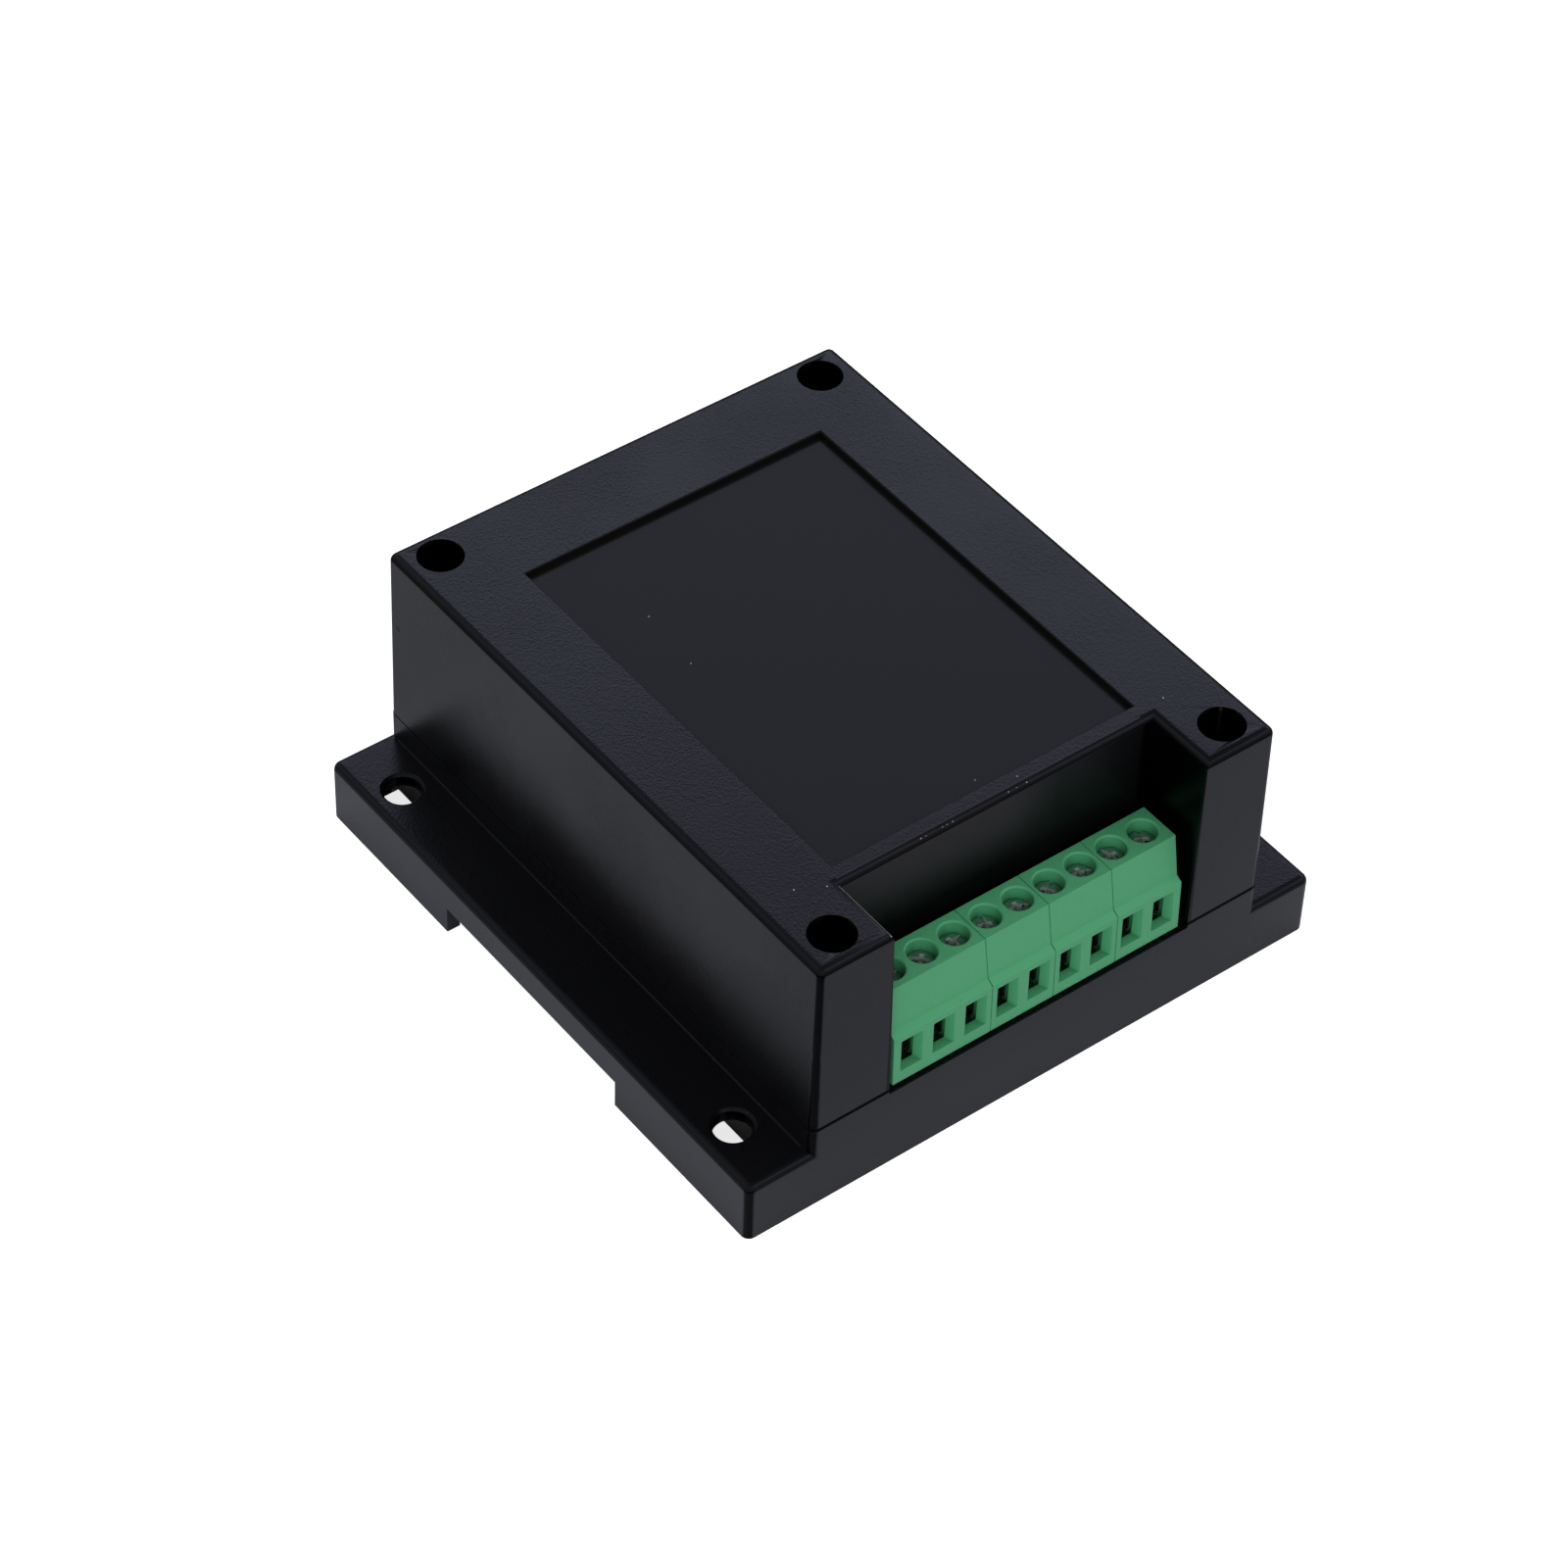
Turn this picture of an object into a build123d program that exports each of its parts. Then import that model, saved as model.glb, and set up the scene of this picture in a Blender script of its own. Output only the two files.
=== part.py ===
from build123d import *
import os
from math import hypot, radians, tan

# Plastic project box for a 35 mm rail, with a nine-pole screw terminal row.
# Millimetres. The origin is the middle of the underside. +X runs to the right
# along the terminal face, +Y to the back and +Z up.

# Overall size
width = 92.0  # over both flanges
depth = 92.0
height = 42.0

# Body and moulding
flange_width = 9.6  # from the side of the body to the outer edge
seam_z = 13.7  # where the cover meets the base
wall = 2.2
floor = 2.2
top_wall = 2.5
draft = 0.6  # degrees, on the cover
corner_r = 1.2  # upright corners
edge_r = 1.15  # rim of the cover
cover_inset = 0.05  # the cover stands this far inside the base
seam_gap = 0.15  # fine gap round the seam, the columns carry the cover
tongue = 1.0  # rim of the base that stands inside the cover
tongue_height = 1.2
tongue_fit = 0.15
label_width = 47.8
label_length = 64.3
label_shift = 0.0  # from the middle of the top, along Y
label_depth = 0.9
label_rim_r = 0.25
overcut = 1.0  # how far a cut runs past the faces that it opens

# Flanges with their mounting holes
flange_top = 9.6
flange_plate = 2.0
skirt = 2.0
end_skirt = 1.5
flange_edge_r = 1.1
flange_hole_d = 5.2
flange_hole_inset_x = 4.9
flange_hole_inset_y = 9.75
flange_hole_rim = 0.4

# Cover screws, deep in the corner wells
well_d = 6.3
well_inset_x = 5.55
well_inset_y = 4.8
column_wall = 1.0
seat_floor = 2.9  # plastic between the seam and the screw head
cover_screw_d = 3.0
cover_screw_head_d = 5.6
cover_screw_head = 2.0
cover_screw_cross = 2.8
cover_hole_fit = 0.2  # radial, in the column
thread_fit = 0.03  # radial, in the pilot holes
boss_d = 8.0
tip_above_floor = 2.4
pilot_spare = 0.6
pan_chamfer = 0.5  # heads of the cover and board screws
pan_cross_bar = 0.65
pan_cross_depth = 0.9
tip_chamfer = 0.6

# Circuit board on four standoffs
board_t = 1.6
board_below_seam = 0.3
board_edge_gap = 0.5
board_hole_inset_x = 4.9
board_hole_inset_y = 13.3
board_screw_d = 2.5
board_screw_head_d = 4.4
board_screw_head = 1.6
board_screw_cross = 2.2
board_screw_grip = 6.0  # length in the standoff
board_hole_fit = 0.15
board_corner_gap = 0.6  # to the corner bosses
standoff_d = 6.4

# Terminal row, in blocks of two poles with an odd pole in the first
poles_in_block = 2
pitch = 5.08
block_gap = 0.1
end_wall = 0.35  # extra plastic on the two ends of the row
row_shift = -0.2  # the row stands a little to the left
row_setback = 0.5  # lower front face behind the front of the box
block_depth = 9.8
block_stand = 0.3  # feet under each block
block_height = 15.1  # above the board
ledge_height = 8.3  # top of the protruding lower front
ledge_rise = 0.6
ledge_lean = 0.25
ledge_back = 0.95
front_lean = 1.1
block_top_depth = 6.2
foot = 0.8
foot_length = 6.6
entry_width = 3.5
entry_height = 5.3
entry_above_board = 2.1
entry_depth = 1.5  # of the funnel, the room behind it is wider
entry_narrowing = 0.55  # on each side
entry_lintel = 0.4
front_wall = 2.5
chamber_width = 4.2
chamber_length = 6.0
shelf = 0.8
shelf_below_top = 3.05
screw_well_d = 4.0
screw_well_rim = 0.2
screw_setback = 5.4  # screw axis behind the lower front face

# Recess of the cover round the terminal row
recess_side_gap = 1.05
recess_back_gap = 0.6
recess_draft = 1.1  # degrees
recess_wall = 2.0
recess_front_drop = 0.6  # front wall of the base, under the row

# Clamp screws, wire cages and contacts
clamp_screw_d = 2.5
clamp_head_d = 3.7
clamp_head = 1.5
clamp_slot = 0.6
clamp_slot_depth = 0.6
cross_length = 2.2
cross_depth = 0.9
head_angles = (10, -47, 15, 70, -14, 35, -14, 100, 60)  # as the screws were left
shelf_hole_fit = 0.1
cage_thread_fit = 0.05
cage_wall = 0.5
cage_top = 1.0
cage_side_gap = 0.2
cage_length = 4.5
cage_lead = 0.2  # behind the front wall
cage_travel = 3.0
cage_below_shelf = 0.2  # room left above a raised cage
tongue_gap = 0.2  # contact tongue to the cage and to the screw tip
contact_t = 0.7
contact_width = 2.3
contact_front_gap = 0.4
contact_back_gap = 0.2
pin_width = 1.0
pin_below_board = 3.0
pin_hole_fit = 0.1

# Rail channel and its sliding clip
rail_width = 35.0
rail_play = 2.2
channel_shift = 0.4
channel_depth = 4.3
channel_roof = 2.2
hook_reach = 1.6
hook_x = 22.0
hook_width = 12.0
hook_lip = 1.1
hook_slope = 1.1
lip_slot = 1.4
clip_width = 22.0
clip_under = 0.3  # clip above the surface that the box stands on
clip_shoulder = 1.5
clip_shoulder_z = 1.4
clip_reach = 3.6  # into the channel
clip_nose_width = 14.0
clip_nose_slope = 1.2
clip_tail_gap = 0.3
clip_travel = 3.0
clip_fit = 0.3
guide_wall = 1.8
guide_roof = 2.0
arm_width = 1.8
arm_slit = 1.0
arm_length = 12.0
arm_root_inset = 7.0  # from the tail of the clip
bump = 0.8
bump_length = 2.0
pry_slot_length = 9.0
pry_slot_width = 1.8
pry_slot_inset = 2.0

# Places worked out from the sizes above
half_width = width / 2
body_width = width - 2 * flange_width
half_body = body_width / 2
front_y = -depth / 2
back_y = depth / 2
inner_width = body_width - 2 * wall
inner_depth = depth - 2 * wall
cover_bottom = seam_z + seam_gap
ceiling = height - top_wall
front_cut = 4 * wall  # across the front face, past the wall and its tongue
well_x = half_body - well_inset_x
well_y = back_y - well_inset_y
column_r = well_d / 2 + column_wall
seat_z = seam_z + seat_floor
screw_tip_z = floor + tip_above_floor

board_top = seam_z - board_below_seam
board_bottom = board_top - board_t
board_width = inner_width - 2 * board_edge_gap
board_length = inner_depth - 2 * board_edge_gap
board_hole_x = board_width / 2 - board_hole_inset_x
board_hole_y = board_length / 2 - board_hole_inset_y

recess_lean = tan(radians(recess_draft)) * (height - seam_z)
row_room = 2 * (well_x - well_d / 2 - recess_wall - recess_lean - recess_side_gap - end_wall)
poles = int(row_room / pitch)
blocks = [poles_in_block + poles % poles_in_block]
blocks += [poles_in_block] * ((poles - blocks[0]) // poles_in_block)
row_half = poles * pitch / 2 + end_wall
row_front = front_y + row_setback
row_back = row_front + block_depth
row_top = board_top + block_height
block_bottom = board_top + block_stand
pole_xs = [row_shift + (i - (poles - 1) / 2) * pitch for i in range(poles)]
screw_y = row_front + screw_setback
entry_z = board_top + entry_above_board
chamber_front = row_front + front_wall
chamber_back = chamber_front + chamber_length
shelf_top = row_top - shelf_below_top
shelf_bottom = shelf_top - shelf
cage_width = chamber_width - 2 * cage_side_gap
cage_top_z = shelf_bottom - cage_below_shelf - cage_travel
tongue_top = cage_top_z - cage_top - tongue_gap
cage_floor_z = entry_z - cage_wall
contact_back = chamber_back - contact_back_gap
pin_hole_r = hypot(pin_width, contact_t) / 2 + pin_hole_fit

recess_half = row_half + recess_side_gap
recess_back = row_back + recess_back_gap

channel_width = rail_width + rail_play
channel_front = channel_shift - channel_width / 2
channel_back = channel_shift + channel_width / 2
lip_z = channel_depth - lip_slot
clip_top = lip_z
clip_front = channel_back - clip_reach
clip_tail = back_y - clip_tail_gap
guide_half = clip_width / 2 + clip_fit
guide_top = clip_top + clip_fit
arm_root_y = clip_tail - arm_root_inset
arm_tip_y = arm_root_y - arm_length

parts = {}


def keep(name, part):
    """Label a finished piece and hold it for export."""
    part.label = name
    parts[name] = part


def recess_outline(grow):
    """Corners of the terminal recess seen from the front, wider by grow on each side."""
    low, high = seam_z - overcut, height + overcut
    lean = tan(radians(recess_draft))
    low_half = recess_half + (low - seam_z) * lean + grow
    high_half = recess_half + (high - seam_z) * lean + grow
    return [(-low_half, low), (low_half, low), (high_half, high), (-high_half, high)]


# Base: the slab with the flanges, then the body that rises from it
with BuildPart() as base:
    with BuildSketch(Plane.XY):
        RectangleRounded(width, depth, corner_r)
    extrude(amount=flange_top)
    fillet(base.edges().group_by(Axis.Z)[-1], radius=flange_edge_r)
    with BuildSketch(Plane.XY):
        RectangleRounded(body_width, depth, corner_r)
    extrude(amount=seam_z)

    # Tray inside, and the hollow underside of each flange
    with BuildSketch(Plane.XY.offset(floor)):
        Rectangle(inner_width, inner_depth)
    extrude(amount=seam_z, mode=Mode.SUBTRACT)
    hollow = half_width - skirt - half_body
    with BuildSketch(Plane.XY):
        with GridLocations(2 * half_body + hollow, 1, 2, 1):
            Rectangle(hollow, depth - 2 * end_skirt)
    extrude(amount=flange_top - flange_plate, mode=Mode.SUBTRACT)

    # Flange mounting holes with broken rims
    with BuildSketch(Plane.XY.offset(flange_top)):
        with GridLocations(width - 2 * flange_hole_inset_x, depth - 2 * flange_hole_inset_y, 2, 2):
            Circle(flange_hole_d / 2)
    extrude(amount=-flange_plate, mode=Mode.SUBTRACT)
    chamfer(base.edges(Select.LAST).filter_by(GeomType.CIRCLE).group_by(Axis.Z)[-1], length=flange_hole_rim)

    # Raised floor over the rail channel and over the clip guide
    with BuildSketch(Plane.XY):
        with Locations((0, channel_shift)):
            Rectangle(inner_width, channel_width + 2 * wall)
    extrude(amount=channel_depth + channel_roof)
    with BuildSketch(Plane.XY):
        with Locations((0, (channel_back + back_y - wall) / 2)):
            Rectangle(2 * (guide_half + bump + clip_fit + guide_wall), back_y - wall - channel_back)
    extrude(amount=guide_top + guide_roof)

    # Corner bosses and board standoffs
    with BuildSketch(Plane.XY.offset(floor)):
        with GridLocations(2 * well_x, 2 * well_y, 2, 2):
            Circle(boss_d / 2)
    extrude(amount=seam_z - floor)
    with BuildSketch(Plane.XY.offset(floor)):
        with GridLocations(2 * board_hole_x, 2 * board_hole_y, 2, 2):
            Circle(standoff_d / 2)
    extrude(amount=board_bottom - floor)

    # Tongue round the seam, left out along the terminal recess
    with BuildSketch(Plane.XY.offset(seam_z)):
        Rectangle(inner_width + 2 * tongue, inner_depth + 2 * tongue)
        Rectangle(inner_width, inner_depth, mode=Mode.SUBTRACT)
        with Locations((0, front_y)):
            Rectangle(2 * (recess_half + recess_wall + tongue_fit), front_cut, mode=Mode.SUBTRACT)
    extrude(amount=tongue_height)

    # The front wall is lower under the terminal row
    with BuildSketch(Plane.XY.offset(seam_z - recess_front_drop)):
        with Locations((0, front_y)):
            Rectangle(2 * recess_half, front_cut)
    extrude(amount=wall, mode=Mode.SUBTRACT)

    # Pilot holes for the cover screws and the board screws
    with BuildSketch(Plane.XY.offset(seam_z)):
        with GridLocations(2 * well_x, 2 * well_y, 2, 2):
            Circle(cover_screw_d / 2 + thread_fit)
    extrude(amount=screw_tip_z - pilot_spare - seam_z, mode=Mode.SUBTRACT)
    with BuildSketch(Plane.XY.offset(board_bottom)):
        with GridLocations(2 * board_hole_x, 2 * board_hole_y, 2, 2):
            Circle(board_screw_d / 2 + thread_fit)
    extrude(amount=-board_screw_grip - pilot_spare, mode=Mode.SUBTRACT)

    # Rail channel across the underside
    with BuildSketch(Plane.XY):
        with Locations((0, channel_shift)):
            Rectangle(width, channel_width)
    extrude(amount=channel_depth, mode=Mode.SUBTRACT)

    # Stepped guide for the clip, open to the channel and to the back
    with BuildSketch(Plane.XZ.offset(-back_y)):
        with BuildLine():
            ledge_half = guide_half - clip_shoulder
            ledge_z = clip_shoulder_z - clip_fit
            Polyline((-ledge_half, 0), (-ledge_half, ledge_z), (-guide_half, ledge_z),
                     (-guide_half, guide_top), (guide_half, guide_top), (guide_half, ledge_z),
                     (ledge_half, ledge_z), (ledge_half, 0), close=True)
        make_face()
    extrude(amount=back_y - channel_back, mode=Mode.SUBTRACT)
    with BuildSketch(Plane.XY.offset(ledge_z)):
        with Locations((0, arm_tip_y + bump_length / 2 + clip_travel / 2)):
            Rectangle(2 * (guide_half + bump), bump_length + clip_travel + 2 * clip_fit)
    extrude(amount=guide_top - ledge_z, mode=Mode.SUBTRACT)

    # Fixed hooks that take the front edge of the rail
    for side in (-1, 1):
        with BuildSketch(Plane.YZ.offset(side * hook_x - hook_width / 2)):
            with BuildLine():
                Polyline((channel_front, lip_z - hook_lip - hook_slope), (channel_front, lip_z),
                         (channel_front + hook_reach, lip_z),
                         (channel_front + hook_reach, lip_z - hook_lip), close=True)
            make_face()
        extrude(amount=hook_width)
keep("base", base.part)

# Room inside the cover: the recess lining and the four columns stay solid
with BuildPart() as room:
    with BuildSketch(Plane.XY.offset(cover_bottom)):
        Rectangle(inner_width, inner_depth)
    extrude(amount=ceiling - cover_bottom, taper=draft)
    with BuildSketch(Plane.XZ.offset(-recess_back - recess_wall)):
        with BuildLine():
            Polyline(*recess_outline(recess_wall), close=True)
        make_face()
    extrude(amount=recess_back + recess_wall - front_y, mode=Mode.SUBTRACT)
    with BuildSketch(Plane.XY.offset(cover_bottom)):
        with GridLocations(2 * well_x, 2 * well_y, 2, 2):
            Circle(column_r)
    extrude(amount=ceiling - cover_bottom, mode=Mode.SUBTRACT)

# Cover: a drafted shell with the open terminal recess in its front
with BuildPart() as cover:
    with BuildSketch(Plane.XY.offset(cover_bottom)):
        RectangleRounded(body_width - 2 * cover_inset, depth - 2 * cover_inset, corner_r)
    extrude(amount=height - cover_bottom, taper=draft)
    with BuildSketch(Plane.XZ.offset(-recess_back)):
        with BuildLine():
            Polyline(*recess_outline(0), close=True)
        make_face()
    extrude(amount=recess_back - front_y, mode=Mode.SUBTRACT)
    fillet(cover.edges().group_by(Axis.Z)[-1], radius=edge_r)
    add(room.part, mode=Mode.SUBTRACT)

    # Column feet reach the bosses of the base through the seam gap
    with BuildSketch(Plane.XY.offset(seam_z)):
        with GridLocations(2 * well_x, 2 * well_y, 2, 2):
            Circle(column_r)
    extrude(amount=seam_gap)

    # Groove for the tongue of the base
    groove = tongue + tongue_fit
    with BuildSketch(Plane.XY.offset(seam_z)):
        Rectangle(inner_width + 2 * groove, inner_depth + 2 * groove)
        Rectangle(inner_width - 2 * tongue_fit, inner_depth - 2 * tongue_fit, mode=Mode.SUBTRACT)
        with Locations((0, front_y)):
            Rectangle(2 * (recess_half + recess_wall), front_cut, mode=Mode.SUBTRACT)
    extrude(amount=tongue_height + tongue_fit, mode=Mode.SUBTRACT)

    # Screw wells with their seats
    with BuildSketch(Plane.XY.offset(seat_z)):
        with GridLocations(2 * well_x, 2 * well_y, 2, 2):
            Circle(well_d / 2)
    extrude(amount=height - seat_z, mode=Mode.SUBTRACT)
    with BuildSketch(Plane.XY.offset(seam_z)):
        with GridLocations(2 * well_x, 2 * well_y, 2, 2):
            Circle(cover_screw_d / 2 + cover_hole_fit)
    extrude(amount=seat_floor, mode=Mode.SUBTRACT)

    # Shallow label field in the top
    with BuildSketch(Plane.XY.offset(height)):
        with Locations((0, label_shift)):
            Rectangle(label_width, label_length)
    extrude(amount=-label_depth, mode=Mode.SUBTRACT)
    fillet(cover.edges(Select.LAST).group_by(Axis.Z)[-1], radius=label_rim_r)
keep("cover", cover.part)


def pan_screw(x, y, seat, tip, screw_d, head_d, head_h, cross):
    """A cross-head pan screw that stands on seat and ends at tip."""
    with BuildPart() as screw:
        with BuildSketch(Plane.XY.offset(seat)):
            with Locations((x, y)):
                Circle(head_d / 2)
        extrude(amount=head_h)
        chamfer(screw.edges().group_by(Axis.Z)[-1], length=pan_chamfer)
        with BuildSketch(Plane.XY.offset(seat)):
            with Locations((x, y)):
                Circle(screw_d / 2)
        extrude(amount=tip - seat)
        chamfer(screw.edges().group_by(Axis.Z)[0], length=tip_chamfer)
        with BuildSketch(Plane.XY.offset(seat + head_h)):
            with Locations((x, y)):
                Rectangle(cross, pan_cross_bar)
                Rectangle(pan_cross_bar, cross)
        extrude(amount=-pan_cross_depth, mode=Mode.SUBTRACT)
    return screw.part


corner_signs = [(-1, -1), (1, -1), (1, 1), (-1, 1)]
for number, (sx, sy) in enumerate(corner_signs, 1):
    keep(f"cover_screw_{number}", pan_screw(sx * well_x, sy * well_y, seat_z, screw_tip_z,
                                            cover_screw_d, cover_screw_head_d, cover_screw_head,
                                            cover_screw_cross))
    keep(f"board_screw_{number}", pan_screw(sx * board_hole_x, sy * board_hole_y, board_top,
                                            board_bottom - board_screw_grip,
                                            board_screw_d, board_screw_head_d, board_screw_head,
                                            board_screw_cross))

# Circuit board with its corners cut round the bosses
with BuildPart() as circuit_board:
    corner_cut_x = board_width / 2 - (well_x - boss_d / 2 - board_corner_gap)
    corner_cut_y = board_length / 2 - (well_y - boss_d / 2 - board_corner_gap)
    with BuildSketch(Plane.XY.offset(board_bottom)):
        Rectangle(board_width, board_length)
        with GridLocations(board_width - corner_cut_x, board_length - corner_cut_y, 2, 2):
            Rectangle(corner_cut_x, corner_cut_y, mode=Mode.SUBTRACT)
        with GridLocations(2 * board_hole_x, 2 * board_hole_y, 2, 2):
            Circle(board_screw_d / 2 + board_hole_fit, mode=Mode.SUBTRACT)
        with Locations(*[(x, contact_back - contact_t / 2) for x in pole_xs]):
            Circle(pin_hole_r, mode=Mode.SUBTRACT)
    extrude(amount=board_t)
keep("circuit_board", circuit_board.part)


def terminal_block(first, count):
    """Housing of count poles, from the pole numbered first (0 is the left one)."""
    left = pole_xs[first] - pitch / 2 + (-end_wall if first == 0 else block_gap / 2)
    last = first + count - 1
    right = pole_xs[last] + pitch / 2 + (end_wall if last == poles - 1 else -block_gap / 2)
    xs = pole_xs[first:first + count]
    ledge_z = board_top + ledge_height
    ledge_y = row_front + ledge_lean + ledge_back
    with BuildPart() as block:
        with BuildSketch(Plane.YZ.offset(left)):
            with BuildLine():
                Polyline((row_front, block_bottom), (row_front + ledge_lean, ledge_z),
                         (ledge_y, ledge_z + ledge_rise), (ledge_y + front_lean, row_top),
                         (ledge_y + front_lean + block_top_depth, row_top),
                         (row_back, ledge_z), (row_back, block_bottom), close=True)
            make_face()
        extrude(amount=right - left)
        with BuildSketch(Plane.XY.offset(board_top)):
            with Locations((left + foot / 2, (row_front + row_back) / 2),
                           (right - foot / 2, (row_front + row_back) / 2)):
                Rectangle(foot, foot_length)
        extrude(amount=block_stand)

        # Wire entries are funnels that open into the front of the chambers
        funnel_back = row_front + entry_depth
        for x in xs:
            with BuildSketch(Plane.XZ.offset(-row_front)):
                with Locations((x, entry_z + entry_height / 2)):
                    Rectangle(entry_width, entry_height)
            with BuildSketch(Plane.XZ.offset(-funnel_back)):
                with Locations((x, entry_z + (entry_height - entry_lintel) / 2)):
                    Rectangle(entry_width - 2 * entry_narrowing, entry_height - entry_lintel)
            loft(mode=Mode.SUBTRACT)
        with BuildSketch(Plane.XY.offset(board_top)):
            with Locations(*[(x, (funnel_back + chamber_front) / 2) for x in xs]):
                Rectangle(chamber_width, chamber_front - funnel_back)
        extrude(amount=entry_z + entry_height - board_top, mode=Mode.SUBTRACT)

        # Chambers for the cages, the shelf holes and the screw wells
        with BuildSketch(Plane.XY.offset(board_top)):
            with Locations(*[(x, (chamber_front + chamber_back) / 2) for x in xs]):
                Rectangle(chamber_width, chamber_length)
        extrude(amount=shelf_bottom - board_top, mode=Mode.SUBTRACT)
        with BuildSketch(Plane.XY.offset(shelf_bottom)):
            with Locations(*[(x, screw_y) for x in xs]):
                Circle(clamp_screw_d / 2 + shelf_hole_fit)
        extrude(amount=shelf, mode=Mode.SUBTRACT)
        with BuildSketch(Plane.XY.offset(shelf_top)):
            with Locations(*[(x, screw_y) for x in xs]):
                Circle(screw_well_d / 2)
        extrude(amount=shelf_below_top, mode=Mode.SUBTRACT)
        rims = block.edges().group_by(Axis.Z)[-1].filter_by(GeomType.CIRCLE)
        chamfer(rims, length=screw_well_rim)
    return block.part


first_pole = 0
for number, count in enumerate(blocks, 1):
    keep(f"terminal_block_{number}", terminal_block(first_pole, count))
    first_pole += count


def clamp_screw(x, angle):
    """Slotted cross-head clamp screw standing on the shelf of its block."""
    head_top = shelf_top + clamp_head
    with BuildPart() as screw:
        with BuildSketch(Plane.XY.offset(shelf_top)):
            with Locations((x, screw_y)):
                Circle(clamp_head_d / 2)
        extrude(amount=clamp_head)
        with BuildSketch(Plane.XY.offset(shelf_top)):
            with Locations((x, screw_y)):
                Circle(clamp_screw_d / 2)
        extrude(amount=tongue_top + tongue_gap - shelf_top)
        with BuildSketch(Plane.XY.offset(head_top)):
            with Locations(Location((x, screw_y), angle)):
                Rectangle(clamp_head_d, clamp_slot)
        extrude(amount=-clamp_slot_depth, mode=Mode.SUBTRACT)
        with BuildSketch(Plane.XY.offset(head_top)):
            with Locations(Location((x, screw_y), angle)):
                Rectangle(clamp_slot, cross_length)
                Rectangle(cross_length, clamp_slot)
        extrude(amount=-cross_depth, mode=Mode.SUBTRACT)
    return screw.part


def wire_cage(x):
    """Rising cage: a short square tube with a threaded top, lowered as far as it goes."""
    mid_z = (cage_floor_z + cage_top_z) / 2
    with BuildPart() as cage:
        with BuildSketch(Plane.XZ.offset(-chamber_front - cage_lead)):
            with Locations((x, mid_z)):
                Rectangle(cage_width, cage_top_z - cage_floor_z)
            with Locations((x, mid_z + (cage_wall - cage_top) / 2)):
                Rectangle(cage_width - 2 * cage_wall,
                          cage_top_z - cage_floor_z - cage_wall - cage_top, mode=Mode.SUBTRACT)
        extrude(amount=-cage_length)
        with BuildSketch(Plane.XY.offset(cage_top_z)):
            with Locations((x, screw_y)):
                Circle(clamp_screw_d / 2 + cage_thread_fit)
        extrude(amount=-cage_top, mode=Mode.SUBTRACT)
    return cage.part


def contact(x):
    """Bent contact: a tongue through the cage, a leg behind it and the solder pin."""
    tongue_low = tongue_top - contact_t
    leg_front = contact_back - contact_t
    with BuildPart() as strip:
        with BuildSketch(Plane.YZ.offset(x - contact_width / 2)):
            with BuildLine():
                Polyline((chamber_front + contact_front_gap, tongue_low), (leg_front, tongue_low),
                         (leg_front, board_top), (contact_back, board_top),
                         (contact_back, tongue_top),
                         (chamber_front + contact_front_gap, tongue_top), close=True)
            make_face()
        extrude(amount=contact_width)
        with BuildSketch(Plane.XY.offset(board_top)):
            with Locations((x, contact_back - contact_t / 2)):
                Rectangle(pin_width, contact_t)
        extrude(amount=-board_t - pin_below_board)
    return strip.part


for number, x in enumerate(pole_xs, 1):
    keep(f"clamp_screw_{number}", clamp_screw(x, head_angles[(number - 1) % len(head_angles)]))
    keep(f"wire_cage_{number}", wire_cage(x))
    keep(f"contact_{number}", contact(x))

# Sliding clip that locks the back edge of the rail
with BuildPart() as rail_clip:
    narrow = clip_width - 2 * clip_shoulder
    with BuildSketch(Plane.XY.offset(clip_under)):
        with Locations((0, (channel_back + clip_tail) / 2)):
            Rectangle(narrow, clip_tail - channel_back)
    extrude(amount=clip_top - clip_under)
    with BuildSketch(Plane.XY.offset(clip_shoulder_z)):
        with Locations((0, (channel_back + clip_tail) / 2)):
            Rectangle(clip_width, clip_tail - channel_back)
    extrude(amount=clip_top - clip_shoulder_z)

    # Sloped nose that reaches under the rail
    with BuildSketch(Plane.YZ.offset(-clip_nose_width / 2)):
        with BuildLine():
            Polyline((channel_back, clip_under), (clip_front + clip_nose_slope, clip_under),
                     (clip_front, clip_under + clip_nose_slope), (clip_front, clip_top),
                     (channel_back, clip_top), close=True)
        make_face()
    extrude(amount=clip_nose_width)

    # Slits free the two spring arms, and a pry slot stands near the tail
    slit_x = clip_width / 2 - arm_width - arm_slit / 2
    with BuildSketch(Plane.XY.offset(clip_under)):
        with GridLocations(2 * slit_x, 1, 2, 1):
            with Locations((0, (arm_root_y + arm_tip_y - arm_slit) / 2)):
                Rectangle(arm_slit, arm_length + arm_slit)
        with Locations((slit_x + arm_width / 2, arm_tip_y - arm_slit / 2),
                       (-slit_x - arm_width / 2, arm_tip_y - arm_slit / 2)):
            Rectangle(arm_width + arm_slit, arm_slit)
        with Locations((0, clip_tail - pry_slot_inset - pry_slot_width / 2)):
            Rectangle(pry_slot_length, pry_slot_width)
    extrude(amount=clip_top, mode=Mode.SUBTRACT)

    # Bumps on the arms run in the side pockets of the guide and stop the travel
    with BuildSketch(Plane.XY.offset(clip_shoulder_z)):
        with Locations((0, arm_tip_y + bump_length / 2)):
            Rectangle(clip_width + 2 * bump, bump_length)
            Rectangle(clip_width - 2 * arm_width, bump_length, mode=Mode.SUBTRACT)
    extrude(amount=clip_top - clip_shoulder_z)
keep("rail_clip", rail_clip.part)

os.makedirs("parts", exist_ok=True)
for name, part in parts.items():
    export_step(part, f"parts/{name}.step")
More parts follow.
